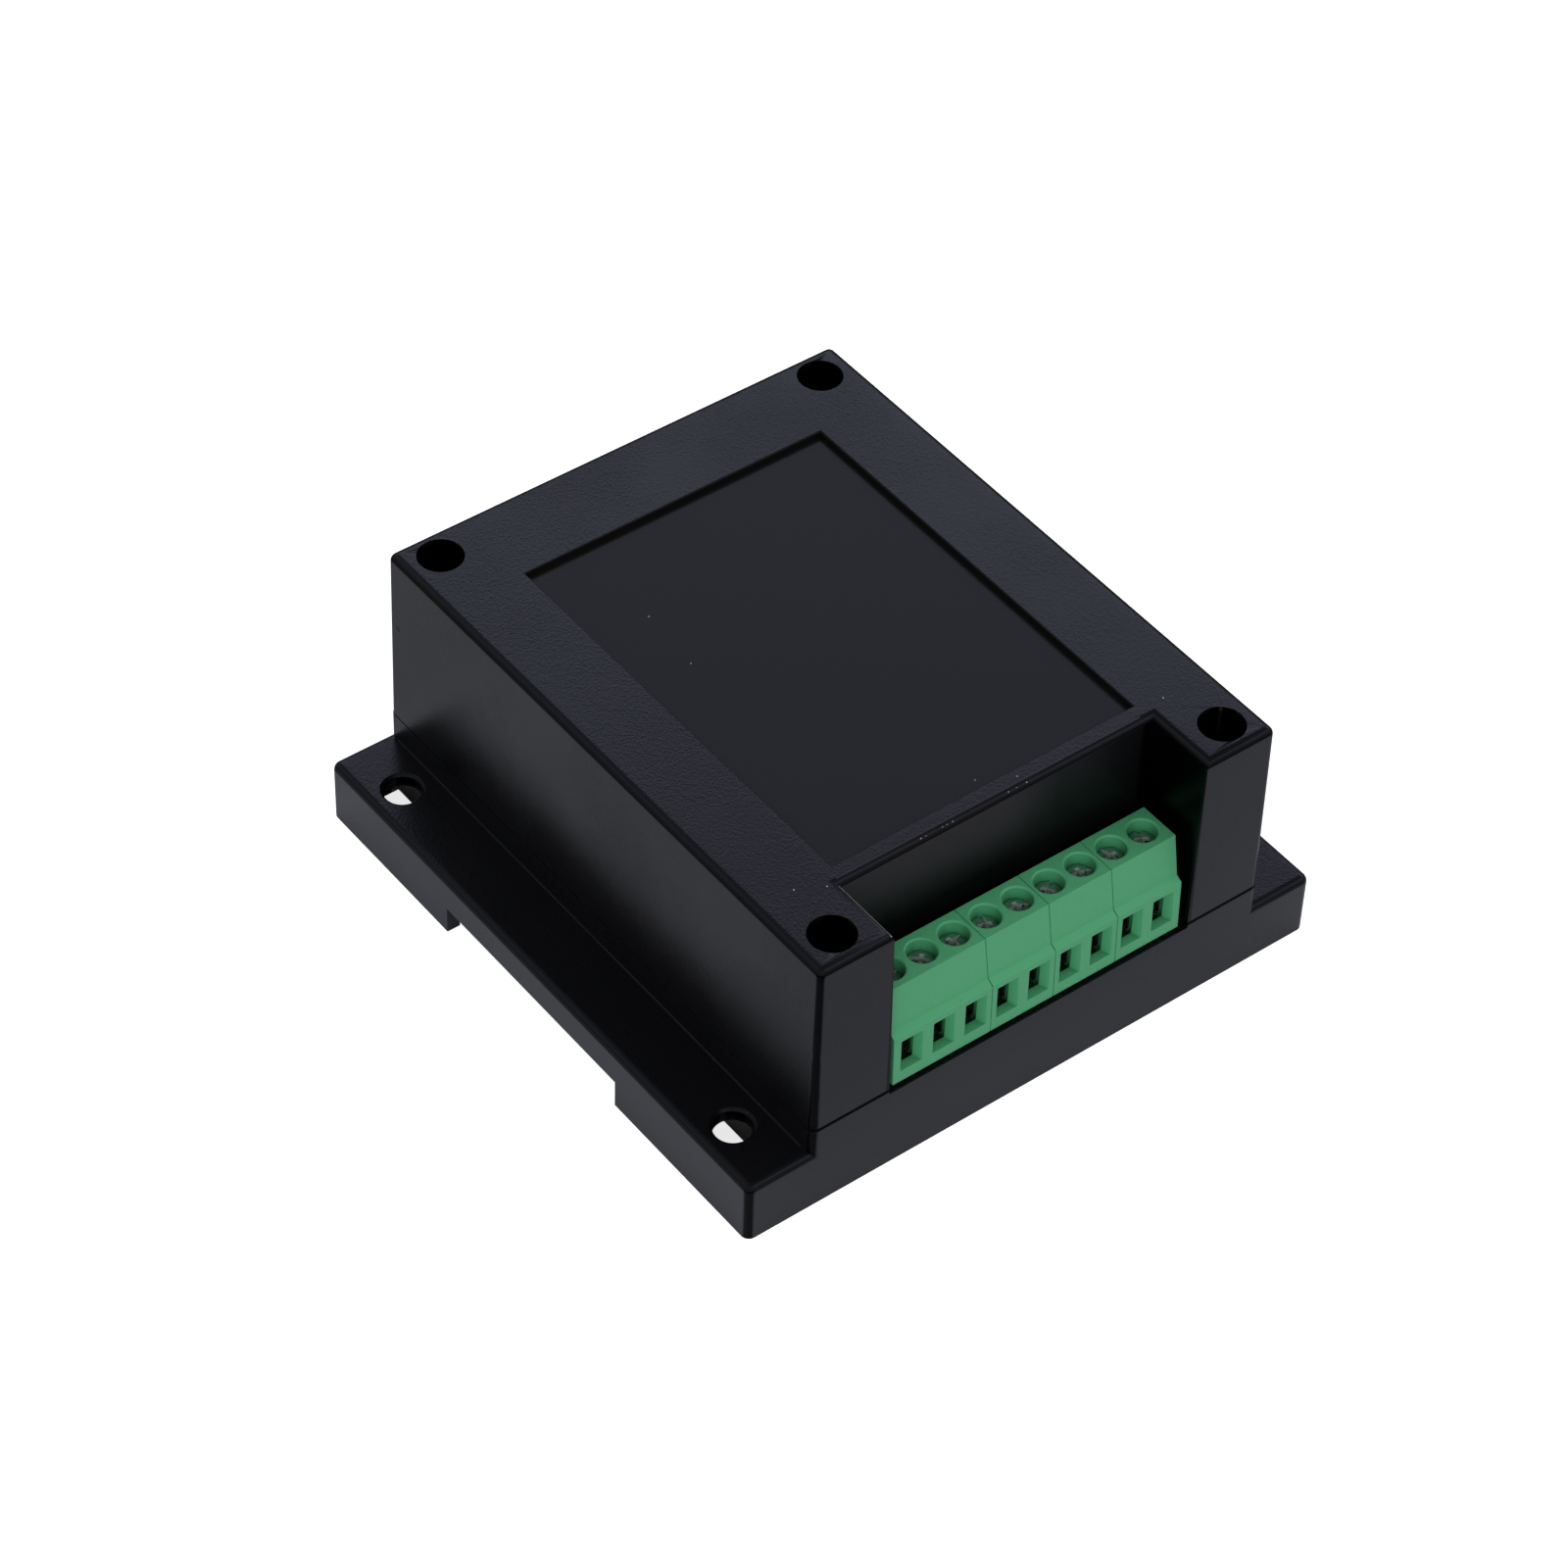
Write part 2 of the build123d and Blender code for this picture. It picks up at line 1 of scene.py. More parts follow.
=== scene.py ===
"""Looks of a plastic project box for a 35 mm rail with a row of green screw terminals.

The solids of the box are the fixed frame. This script gives them their finishes, softens
their edges, puts threaded screws in the place of the plain ones and sets up the studio.
"""

import logging
import math
from dataclasses import dataclass, field, replace
from enum import Enum

import bmesh
import bpy
from bpy.types import Material, Node, NodeOutputs, NodeSocket, NodeTree, Object
from mathutils import Matrix, Vector


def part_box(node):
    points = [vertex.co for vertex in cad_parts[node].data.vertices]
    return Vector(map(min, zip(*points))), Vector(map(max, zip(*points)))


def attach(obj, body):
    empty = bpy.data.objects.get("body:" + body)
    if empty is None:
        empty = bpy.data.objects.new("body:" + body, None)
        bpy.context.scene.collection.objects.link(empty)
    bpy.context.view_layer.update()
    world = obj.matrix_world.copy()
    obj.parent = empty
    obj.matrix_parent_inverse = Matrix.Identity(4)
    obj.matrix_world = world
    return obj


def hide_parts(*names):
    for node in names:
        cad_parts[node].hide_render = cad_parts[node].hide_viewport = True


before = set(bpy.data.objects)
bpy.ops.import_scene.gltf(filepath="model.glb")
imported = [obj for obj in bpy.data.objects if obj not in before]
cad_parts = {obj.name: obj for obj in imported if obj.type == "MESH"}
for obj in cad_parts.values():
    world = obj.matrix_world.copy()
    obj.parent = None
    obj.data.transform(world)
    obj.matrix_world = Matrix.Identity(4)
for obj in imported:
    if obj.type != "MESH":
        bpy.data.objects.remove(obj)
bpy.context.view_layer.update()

MM = 0.001
WELD_REACH = 0.002 * MM
EDGE_FACETS = 2
SHARP_DEGREES = 40
NORMAL_WEIGHT = 80
Color = tuple[float, float, float]
Point = tuple[float, float, float]
Span = tuple[float, float]
Socket = NodeSocket
log = logging.getLogger("project_box")


class Drive(Enum):
    """Recesses that a screw head can have."""

    CROSS = "cross"
    SLOT_AND_CROSS = "slot and cross"


class Graph:
    """A node tree with short ways to add and join nodes."""

    def __init__(self, tree: NodeTree) -> None:
        """Takes over a node tree and empties it.

        Args:
            tree: The tree of a material, a world or a node group.
        """
        self.tree = tree
        tree.nodes.clear()

    def add(self, kind: str, **values: object) -> Node:
        """Adds a node.

        Args:
            kind: The node's type name without its ShaderNode prefix.
            values: Attributes of the node, or by name its inputs with what goes into them,
                values or output sockets, with an underscore for each space in a name.

        Returns:
            The new node.
        """
        prefix = "" if kind.startswith("Node") else "ShaderNode"
        node = self.tree.nodes.new(prefix + kind)
        for key, value in values.items():
            if hasattr(node, key):
                setattr(node, key, value)
            else:
                self.fill(node.inputs[key.replace("_", " ")], value)
        return node

    def place(self, tree: NodeTree, **values: object) -> NodeOutputs:
        """Places a shared effect with its own values, which are given as in add."""
        return self.add("Group", node_tree=tree, **values).outputs

    def link(self, source: Socket, target: Socket) -> None:
        """Joins an output socket to an input socket."""
        self.tree.links.new(source, target)

    def fill(self, target: Socket, term: object) -> None:
        """Gives an input socket a value, or joins an output socket to it."""
        if isinstance(term, Socket):
            self.link(term, target)
        else:
            target.default_value = term

    def math(self, operation: str, *terms: object) -> Socket:
        """Adds a Math node.

        Args:
            operation: The operation's name, such as MULTIPLY.
            terms: Numbers or sockets, in the order of the node's inputs.

        Returns:
            The node's output.
        """
        node = self.add("Math", operation=operation)
        for socket, term in zip(node.inputs, terms):
            self.fill(socket, term)
        return node.outputs[0]

    def vector(self, operation: str, *terms: object) -> Socket:
        """Adds a Vector Math node that gives a vector.

        Args:
            operation: The operation's name, such as SUBTRACT.
            terms: Vectors or sockets, in the order of the node's inputs. SCALE takes a vector
                and a number.

        Returns:
            The node's vector.
        """
        node = self.add("VectorMath", operation=operation)
        sockets = (node.inputs[0], node.inputs["Scale"]) if operation == "SCALE" else node.inputs
        for socket, term in zip(sockets, terms):
            self.fill(socket, term)
        return node.outputs["Vector"]

    def split(self, vector: Socket) -> tuple[Socket, ...]:
        """Gives the x, y and z of a vector."""
        return tuple(self.add("SeparateXYZ", Vector=vector).outputs)

    def ramp(self, value: Socket, low: float, high: float,
             to_low: float = 0.0, to_high: float = 1.0) -> Socket:
        """Maps a value smoothly from one range to another.

        Args:
            value: The value to map.
            low: Where the input range starts.
            high: Where the input range ends.
            to_low: The result at low.
            to_high: The result at high.

        Returns:
            The mapped value.
        """
        return self.add("MapRange", interpolation_type="SMOOTHSTEP", Value=value, From_Min=low,
                        From_Max=high, To_Min=to_low, To_Max=to_high).outputs["Result"]

    def mix(self, factor: object, first: object, second: object) -> Socket:
        """Mixes two values by the share of the second. Each is a number or a socket."""
        return self._mixed("FLOAT", 2, 0, factor, first, second)

    def blend(self, factor: object, first: object, second: object) -> Socket:
        """Mixes two colours by the share of the second. Each is given or a socket."""
        return self._mixed("RGBA", 6, 2, factor, first, second)

    def _mixed(self, kind: str, start: int, result: int, *terms: object) -> Socket:
        """Adds a Mix node.

        Args:
            kind: The node's data type.
            start: Index of the first of the two inputs that this data type uses.
            result: Index of the output that it uses.
            terms: The factor and what is mixed.

        Returns:
            The mixed value.
        """
        node = self.add("Mix", data_type=kind)
        for socket, term in zip((node.inputs[0], *node.inputs[start:start + 2]), terms):
            self.fill(socket, term)
        return node.outputs[result]


def rgba(color: Color) -> tuple[float, float, float, float]:
    """Gives a colour its full opacity."""
    return (*color, 1.0)


@dataclass
class Effects:
    """Node groups that several finishes share."""

    swirl_cells: float = 0.55
    fine_cells: float = 1.9
    cell_height: float = 0.7
    fine_height: float = 0.5
    shade_range: Span = (0.15, 0.75)
    dark_range: Span = (0.985, 0.94)
    upright_range: Span = (0.45, 0.3)
    facing_up: float = 0.7
    ball_range: Span = (1.0, 0.6)
    least_softness: float = 0.001 * MM
    least_speck: float = 0.4
    cloud_detail: float = 3.0
    cloud_roughness: float = 0.55
    streak_stretch: Point = (0.25, 0.25, 1.0)

    def __post_init__(self) -> None:
        """Builds every group once."""
        self.grain = self._grain()
        self.rounding = self._rounding()
        self.facing = self._facing()
        self.region = self._region()
        self.ball = self._ball()
        self.dust = self._dust()
        self.clouds = self._clouds()

    @staticmethod
    def _new(name: str, inputs: dict[str, float | tuple],
             outputs: tuple[str, ...]) -> tuple[Graph, dict, dict]:
        """Makes an empty group with float or vector inputs and float outputs.

        Args:
            name: The group's name.
            inputs: Each input's name and default, a number or three of them.
            outputs: The outputs' names.

        Returns:
            The group's graph, what comes in and what goes out, by name.
        """
        tree = bpy.data.node_groups.new(name, "ShaderNodeTree")
        for label, value in inputs.items():
            kind = "NodeSocketVector" if isinstance(value, tuple) else "NodeSocketFloat"
            socket = tree.interface.new_socket(name=label, in_out="INPUT", socket_type=kind)
            socket.default_value = value
        for label in outputs:
            tree.interface.new_socket(name=label, in_out="OUTPUT", socket_type="NodeSocketFloat")
        graph = Graph(tree)
        inside, outside = graph.add("NodeGroupInput"), graph.add("NodeGroupOutput")
        return graph, inside.outputs, outside.inputs

    def _grain(self) -> NodeTree:
        """Builds the spark-eroded grain of a moulded face: fine cells pulled about by a noise.

        Returns:
            The group.
        """
        graph, given, out = self._new("spark_grain", {"Cells": 1900.0, "Swirl": 0.00022},
                                      ("Height", "Shade"))
        place = graph.add("TexCoord").outputs["Object"]
        swirl = graph.add("TexNoise", Detail=1.0, Vector=place,
                          Scale=graph.math("MULTIPLY", given["Cells"], self.swirl_cells))
        centred = graph.vector("SUBTRACT", swirl.outputs["Color"], (0.5, 0.5, 0.5))
        moved = graph.vector("ADD", place, graph.vector("SCALE", centred, given["Swirl"]))
        cells = graph.add("TexVoronoi", Vector=moved, Scale=given["Cells"]).outputs["Distance"]
        fine = graph.add("TexNoise", Detail=0.0, Vector=place,
                         Scale=graph.math("MULTIPLY", given["Cells"], self.fine_cells))
        graph.link(graph.math("ADD", graph.math("MULTIPLY", cells, self.cell_height),
                              graph.math("MULTIPLY", fine.outputs["Fac"], self.fine_height)),
                   out["Height"])
        graph.link(graph.ramp(cells, *self.shade_range), out["Shade"])
        return graph.tree

    def _rounding(self) -> NodeTree:
        """Builds the masks of rounded edges, where a surface faces along no axis.

        Edge covers the whole rounding. Dark, the mask of the painted shade on rims, leaves out
        what still looks almost straight along an axis, and what looks up or down.

        Returns:
            The group.
        """
        graph, given, out = self._new("rounded_edges", {"Start": 0.995, "Full": 0.95},
                                      ("Edge", "Dark"))
        x, y, z = graph.split(graph.vector("ABSOLUTE", graph.add("TexCoord").outputs["Normal"]))
        flat = graph.math("MAXIMUM", graph.math("MAXIMUM", x, y), z)
        edge = graph.add("MapRange", Value=flat, From_Min=given["Start"], From_Max=given["Full"],
                         To_Min=0.0, To_Max=1.0)
        graph.link(edge.outputs["Result"], out["Edge"])
        graph.link(graph.math("MULTIPLY", graph.ramp(flat, *self.dark_range),
                              graph.ramp(z, *self.upright_range)), out["Dark"])
        return graph.tree

    def _facing(self) -> NodeTree:
        """Builds the mask of faces that look up.

        Returns:
            The group.
        """
        graph, given, out = self._new("faces_up", {"Least": self.facing_up}, ("Up",))
        upward = graph.split(graph.add("TexCoord").outputs["Normal"])[2]
        graph.link(graph.math("GREATER_THAN", upward, given["Least"]), out["Up"])
        return graph.tree

    def _region(self) -> NodeTree:
        """Builds the mask of a box of space with soft sides, in the object's coordinates.

        Returns:
            The group.
        """
        graph, given, out = self._new("inside_box", {"Low": (0.0,) * 3, "High": (0.0,) * 3,
                                                     "Soft": (0.0,) * 3}, ("Inside",))
        place = graph.add("TexCoord").outputs["Object"]
        soft = graph.vector("MAXIMUM", given["Soft"], (self.least_softness,) * 3)
        shares = [graph.vector("DIVIDE", graph.vector("SUBTRACT", first, second), soft)
                  for first, second in ((place, given["Low"]), (given["High"], place))]
        x, y, z = graph.split(graph.vector("MINIMUM", *shares))
        lowest = graph.math("MINIMUM", graph.math("MINIMUM", x, y), z)
        graph.link(graph.ramp(lowest, 0.0, 1.0), out["Inside"])
        return graph.tree

    def _ball(self) -> NodeTree:
        """Builds the mask of a ball of space, in the object's coordinates.

        Returns:
            The group.
        """
        graph, given, out = self._new("inside_ball", {"Centre": (0.0,) * 3, "Radius": 0.0002},
                                      ("Inside",))
        place = graph.add("TexCoord").outputs["Object"]
        apart = graph.add("VectorMath", operation="DISTANCE")
        graph.link(place, apart.inputs[0])
        graph.link(given["Centre"], apart.inputs[1])
        share = graph.math("DIVIDE", apart.outputs["Value"], given["Radius"])
        graph.link(graph.ramp(share, *self.ball_range), out["Inside"])
        return graph.tree

    def _dust(self) -> NodeTree:
        """Builds a mask of few, small, uneven specks that lie on faces that look up.

        Returns:
            The group.
        """
        graph, given, out = self._new("dust_specks", {"Cells": 95.0, "Size": 0.02, "Share": 0.2},
                                      ("Specks",))
        coordinates = graph.add("TexCoord").outputs
        cells = graph.add("TexVoronoi", Randomness=1.0, Vector=coordinates["Object"],
                          Scale=given["Cells"]).outputs
        chance = graph.add("SeparateColor", Color=cells["Color"]).outputs
        chosen = graph.math("LESS_THAN", chance[0], given["Share"])
        reach = graph.math("MULTIPLY", given["Size"],
                           graph.math("ADD", chance[1], self.least_speck))
        near = graph.math("LESS_THAN", cells["Distance"], reach)
        upward = graph.math("GREATER_THAN", graph.split(coordinates["Normal"])[2], self.facing_up)
        graph.link(graph.math("MULTIPLY", graph.math("MULTIPLY", chosen, near), upward),
                   out["Specks"])
        return graph.tree

    def _clouds(self) -> NodeTree:
        """Builds faint clouds and streaks, as melt flow and handling leave on plastic.

        Returns:
            The group.
        """
        graph, given, out = self._new("flow_clouds", {"Scale": 35.0, "Streak": 240.0},
                                      ("Cloud", "Streaks"))
        place = graph.add("TexCoord").outputs["Object"]
        cloud = graph.add("TexNoise", Detail=self.cloud_detail, Roughness=self.cloud_roughness,
                          Vector=place, Scale=given["Scale"])
        stretched = graph.add("Mapping", Vector=place, Scale=self.streak_stretch)
        streak = graph.add("TexNoise", Detail=2.0, Vector=stretched.outputs[0],
                           Scale=given["Streak"])
        graph.link(cloud.outputs["Fac"], out["Cloud"])
        graph.link(streak.outputs["Fac"], out["Streaks"])
        return graph.tree


@dataclass(frozen=True)
class Finish:
    """What every finish has: a name, a colour and how rough it is, which varies a little."""

    name: str
    color: Color
    roughness: float
    cloud_range: Span = (0.3, 0.7)
    smoother: float = 0.03
    rougher: float = 0.03

    def start(self) -> tuple[Material, Graph, Node]:
        """Makes an empty material.

        Returns:
            The material, its graph and its Principled BSDF, which is joined to the output.
        """
        material = bpy.data.materials.new(self.name)
        material.use_nodes = True
        material.diffuse_color = rgba(self.color)
        graph = Graph(material.node_tree)
        shader = graph.add("BsdfPrincipled", Base_Color=rgba(self.color), Roughness=self.roughness)
        graph.add("OutputMaterial", Surface=shader.outputs[0])
        return material, graph, shader

    def tinted(self, share: float) -> tuple[float, float, float, float]:
        """Gives the colour, lighter by a share or, where that is below zero, darker."""
        return rgba(tuple(min(1.0, c * (1 + share)) for c in self.color))

    def uneven(self, graph: Graph, cloud: Socket) -> Socket:
        """Gives the roughness, which varies with clouds or streaks."""
        return graph.ramp(cloud, *self.cloud_range, self.roughness - self.smoother,
                          self.roughness + self.rougher)

    @staticmethod
    def relief(graph: Graph, shader: Node, height: Socket, depth: float) -> None:
        """Gives a material its relief.

        Args:
            graph: The material's graph.
            shader: Its Principled BSDF.
            height: The relief's height.
            depth: How far a height of 1 stands out, in metres.
        """
        bump = graph.add("Bump", Strength=1.0, Distance=depth, Height=height)
        graph.link(bump.outputs["Normal"], shader.inputs["Normal"])


@dataclass(frozen=True)
class Look:
    """How a place on a moulded part differs from the rest of it."""

    color: Color
    roughness: float
    # The reflection cut is a share of metal with the near-black colour; it darkens the reflection
    # and is painted shade in the recess, on its walls and in its wells.
    reflection_cut: float = 0.0
    grain: float = 0.0
    over_edges: bool = False


@dataclass(frozen=True)
class Patch:
    """A box of space in which a moulded part has a look of its own."""

    low: Point
    high: Point
    look: Look
    soft: Point = (0.0, 0.0, 0.0)


@dataclass(frozen=True)
class Spot:
    """A small round mark on a face."""

    place: Point
    radius: float
    color: Color = (0.36, 0.36, 0.35)
    reflection_cut: float = 0.0


@dataclass(frozen=True)
class MouldedPlastic(Finish):
    """Injection-moulded plastic with a grain on its faces and a painted tone on its rounded edges.
    """

    grain_cells: float = 2500.0
    wall_cells: float = 3600.0
    grain_depth: float = 0.022 * MM
    grain_tone: float = 0.12
    worn_range: Span = (0.35, 0.6)
    worn_grain: float = 0.45
    # The edge colour and edge shade paint the rounded edges: darker, with a cut reflection, as
    # painted shade on black plastic; lighter as a painted highlight on green housings.
    painted_edge_color: Color = (0.002, 0.0021, 0.0025)
    edge_roughness: float = 0.3
    edge_shade: float = 0.92
    specular: float = 0.5
    dust_share: float = 0.12
    dust_color: Color = (0.55, 0.55, 0.52)
    patches: tuple[Patch, ...] = ()
    spots: tuple[Spot, ...] = ()

    def make(self, effects: Effects) -> Material:
        """Builds the material.

        Args:
            effects: The shared node groups.

        Returns:
            The material.
        """
        material, graph, shader = self.start()
        shader.inputs["Specular IOR Level"].default_value = self.specular
        up = graph.place(effects.facing)["Up"]
        grain = graph.place(effects.grain,
                            Cells=graph.mix(up, self.wall_cells, self.grain_cells))
        rounding = graph.place(effects.rounding)
        edge = rounding["Edge"]
        cloud = graph.place(effects.clouds)["Cloud"]
        dust = graph.place(effects.dust, Share=self.dust_share)["Specks"]

        tone = graph.blend(grain["Shade"], self.tinted(self.grain_tone),
                           self.tinted(-self.grain_tone))
        rough = self.uneven(graph, cloud)
        height = graph.math("MULTIPLY", grain["Height"],
                            graph.ramp(cloud, *self.worn_range, self.worn_grain, 1.0))
        # Painted shade on the rims: metal with the near-black colour cuts their reflection where
        # the Dark mask is.
        reflection_cut_total = graph.math("MULTIPLY", rounding["Dark"], self.edge_shade)
        places = [(patch.look, graph.place(effects.region, Low=patch.low, High=patch.high,
                                           Soft=patch.soft)["Inside"]) for patch in self.patches]
        for look, here in places:
            tone = graph.blend(here, tone, rgba(look.color))
            rough = graph.mix(here, rough, look.roughness)
            # Patches that stand for shade add their painted shade here, by cutting the reflection.
            reflection_cut_total = graph.math("MAXIMUM", reflection_cut_total, graph.math("MULTIPLY", here, look.reflection_cut))
            height = graph.mix(here, height, graph.math("MULTIPLY", height, look.grain))
        # Painted edge tone over the whole rounding: painted shade on black plastic, a painted
        # highlight on green.
        tone = graph.blend(edge, tone, rgba(self.painted_edge_color))
        for look, here in places:
            if look.over_edges:
                tone = graph.blend(here, tone, rgba(look.color))
        tone = graph.blend(dust, tone, rgba(self.dust_color))
        for spot in self.spots:
            here = graph.place(effects.ball, Centre=spot.place, Radius=spot.radius)["Inside"]
            tone = graph.blend(here, tone, rgba(spot.color))
            if spot.reflection_cut:
                reflection_cut_total = graph.math("MAXIMUM", reflection_cut_total, graph.math("MULTIPLY", here, spot.reflection_cut))
        graph.link(tone, shader.inputs["Base Color"])
        graph.link(graph.mix(edge, rough, self.edge_roughness), shader.inputs["Roughness"])
        graph.link(reflection_cut_total, shader.inputs["Metallic"])
        self.relief(graph, shader, graph.mix(edge, height, 0.0), self.grain_depth)
        return material


@dataclass(frozen=True)
class Metal(Finish):
    """Plated metal with fine marks and a little unevenness."""

    smoother: float = 0.07
    rougher: float = 0.1
    cloud_scale: float = 700.0
    marks: float = 5000.0
    mark_depth: float = 0.004 * MM
    tarnish: Color = (0.3, 0.3, 0.3)
    tarnish_range: Span = (0.45, 0.75)
    # Painted highlight on faces that look sideways: their colour, their share of metal and the
    # range of the mask.
    side_highlight_color: Color | None = None
    side_highlight_metallic: float = 0.2
    side_highlight_range: Span = (0.75, 0.3)

    def make(self, effects: Effects) -> Material:
        """Builds the material.

        Args:
            effects: The shared node groups.

        Returns:
            The material.
        """
        material, graph, shader = self.start()
        shader.inputs["Metallic"].default_value = 1.0
        clouds = graph.place(effects.clouds, Scale=self.cloud_scale, Streak=self.marks)
        tone = graph.blend(graph.ramp(clouds["Cloud"], *self.tarnish_range), rgba(self.color),
                           rgba(self.tarnish))
        # Painted highlight: faces that look sideways, the rim and the slot walls of a head, get a
        # lighter colour and less metal, as if lit.
        if self.side_highlight_color:
            upward = graph.split(graph.add("TexCoord").outputs["Normal"])[2]
            painted_side = graph.ramp(graph.math("ABSOLUTE", upward), *self.side_highlight_range)
            tone = graph.blend(painted_side, tone, rgba(self.side_highlight_color))
            graph.link(graph.mix(painted_side, 1.0, self.side_highlight_metallic), shader.inputs["Metallic"])
        graph.link(tone, shader.inputs["Base Color"])
        graph.link(self.uneven(graph, clouds["Streaks"]), shader.inputs["Roughness"])
        self.relief(graph, shader, clouds["Streaks"], self.mark_depth)
        return material


@dataclass(frozen=True)
class Laminate(Finish):
    """Glass-fibre circuit board with a green mask and the weave just showing."""

    smoother: float = 0.04
    rougher: float = 0.05
    weave_scale: float = 1400.0 / 6
    weave_distortion: float = 0.4
    weave_tone: float = 0.35

    def make(self, effects: Effects) -> Material:
        """Builds the material.

        Args:
            effects: The shared node groups.

        Returns:
            The material.
        """
        material, graph, shader = self.start()
        place = graph.add("TexCoord").outputs["Object"]
        threads = [graph.add("TexWave", bands_direction=direction, Scale=self.weave_scale,
                             Distortion=self.weave_distortion, Vector=place).outputs["Fac"]
                   for direction in ("X", "Y")]
        graph.link(graph.blend(graph.math("MULTIPLY", *threads), rgba(self.color),
                               self.tinted(self.weave_tone)), shader.inputs["Base Color"])
        cloud = graph.place(effects.clouds)["Cloud"]
        graph.link(self.uneven(graph, cloud), shader.inputs["Roughness"])
        return material


def as_object(name: str, mesh: bmesh.types.BMesh) -> Object:
    """Turns a mesh under construction into an object of the scene.

    Args:
        name: The object's name.
        mesh: The mesh, which is freed.

    Returns:
        The object.
    """
    data = bpy.data.meshes.new(name)
    mesh.to_mesh(data)
    mesh.free()
    piece = bpy.data.objects.new(name, data)
    bpy.context.scene.collection.objects.link(piece)
    return piece


def put_on(piece: Object, material: Material) -> None:
    """Gives every material slot of a piece the same finish.

    Args:
        piece: A node of the frame, or a piece made here.
        material: The finish.
    """
    if not piece.material_slots:
        piece.data.materials.append(material)
    for slot in piece.material_slots:
        slot.material = material


def soften(piece: Object, width: float) -> None:
    """Rounds the sharp edges of a piece a little, as moulding and stamping do.

    Args:
        piece: The piece to soften.
        width: How far each edge is rounded, in metres.
    """
    weld = piece.modifiers.new("one_skin", "WELD")
    weld.merge_threshold = WELD_REACH
    bevel = piece.modifiers.new("soft_edges", "BEVEL")
    bevel.width = width
    bevel.segments = EDGE_FACETS
    bevel.limit_method = "ANGLE"
    bevel.angle_limit = math.radians(SHARP_DEGREES)
    bevel.use_clamp_overlap = True
    bevel.miter_outer = "MITER_ARC"
    bevel.harden_normals = True
    normals = piece.modifiers.new("even_normals", "WEIGHTED_NORMAL")
    normals.keep_sharp = False
    normals.weight = NORMAL_WEIGHT


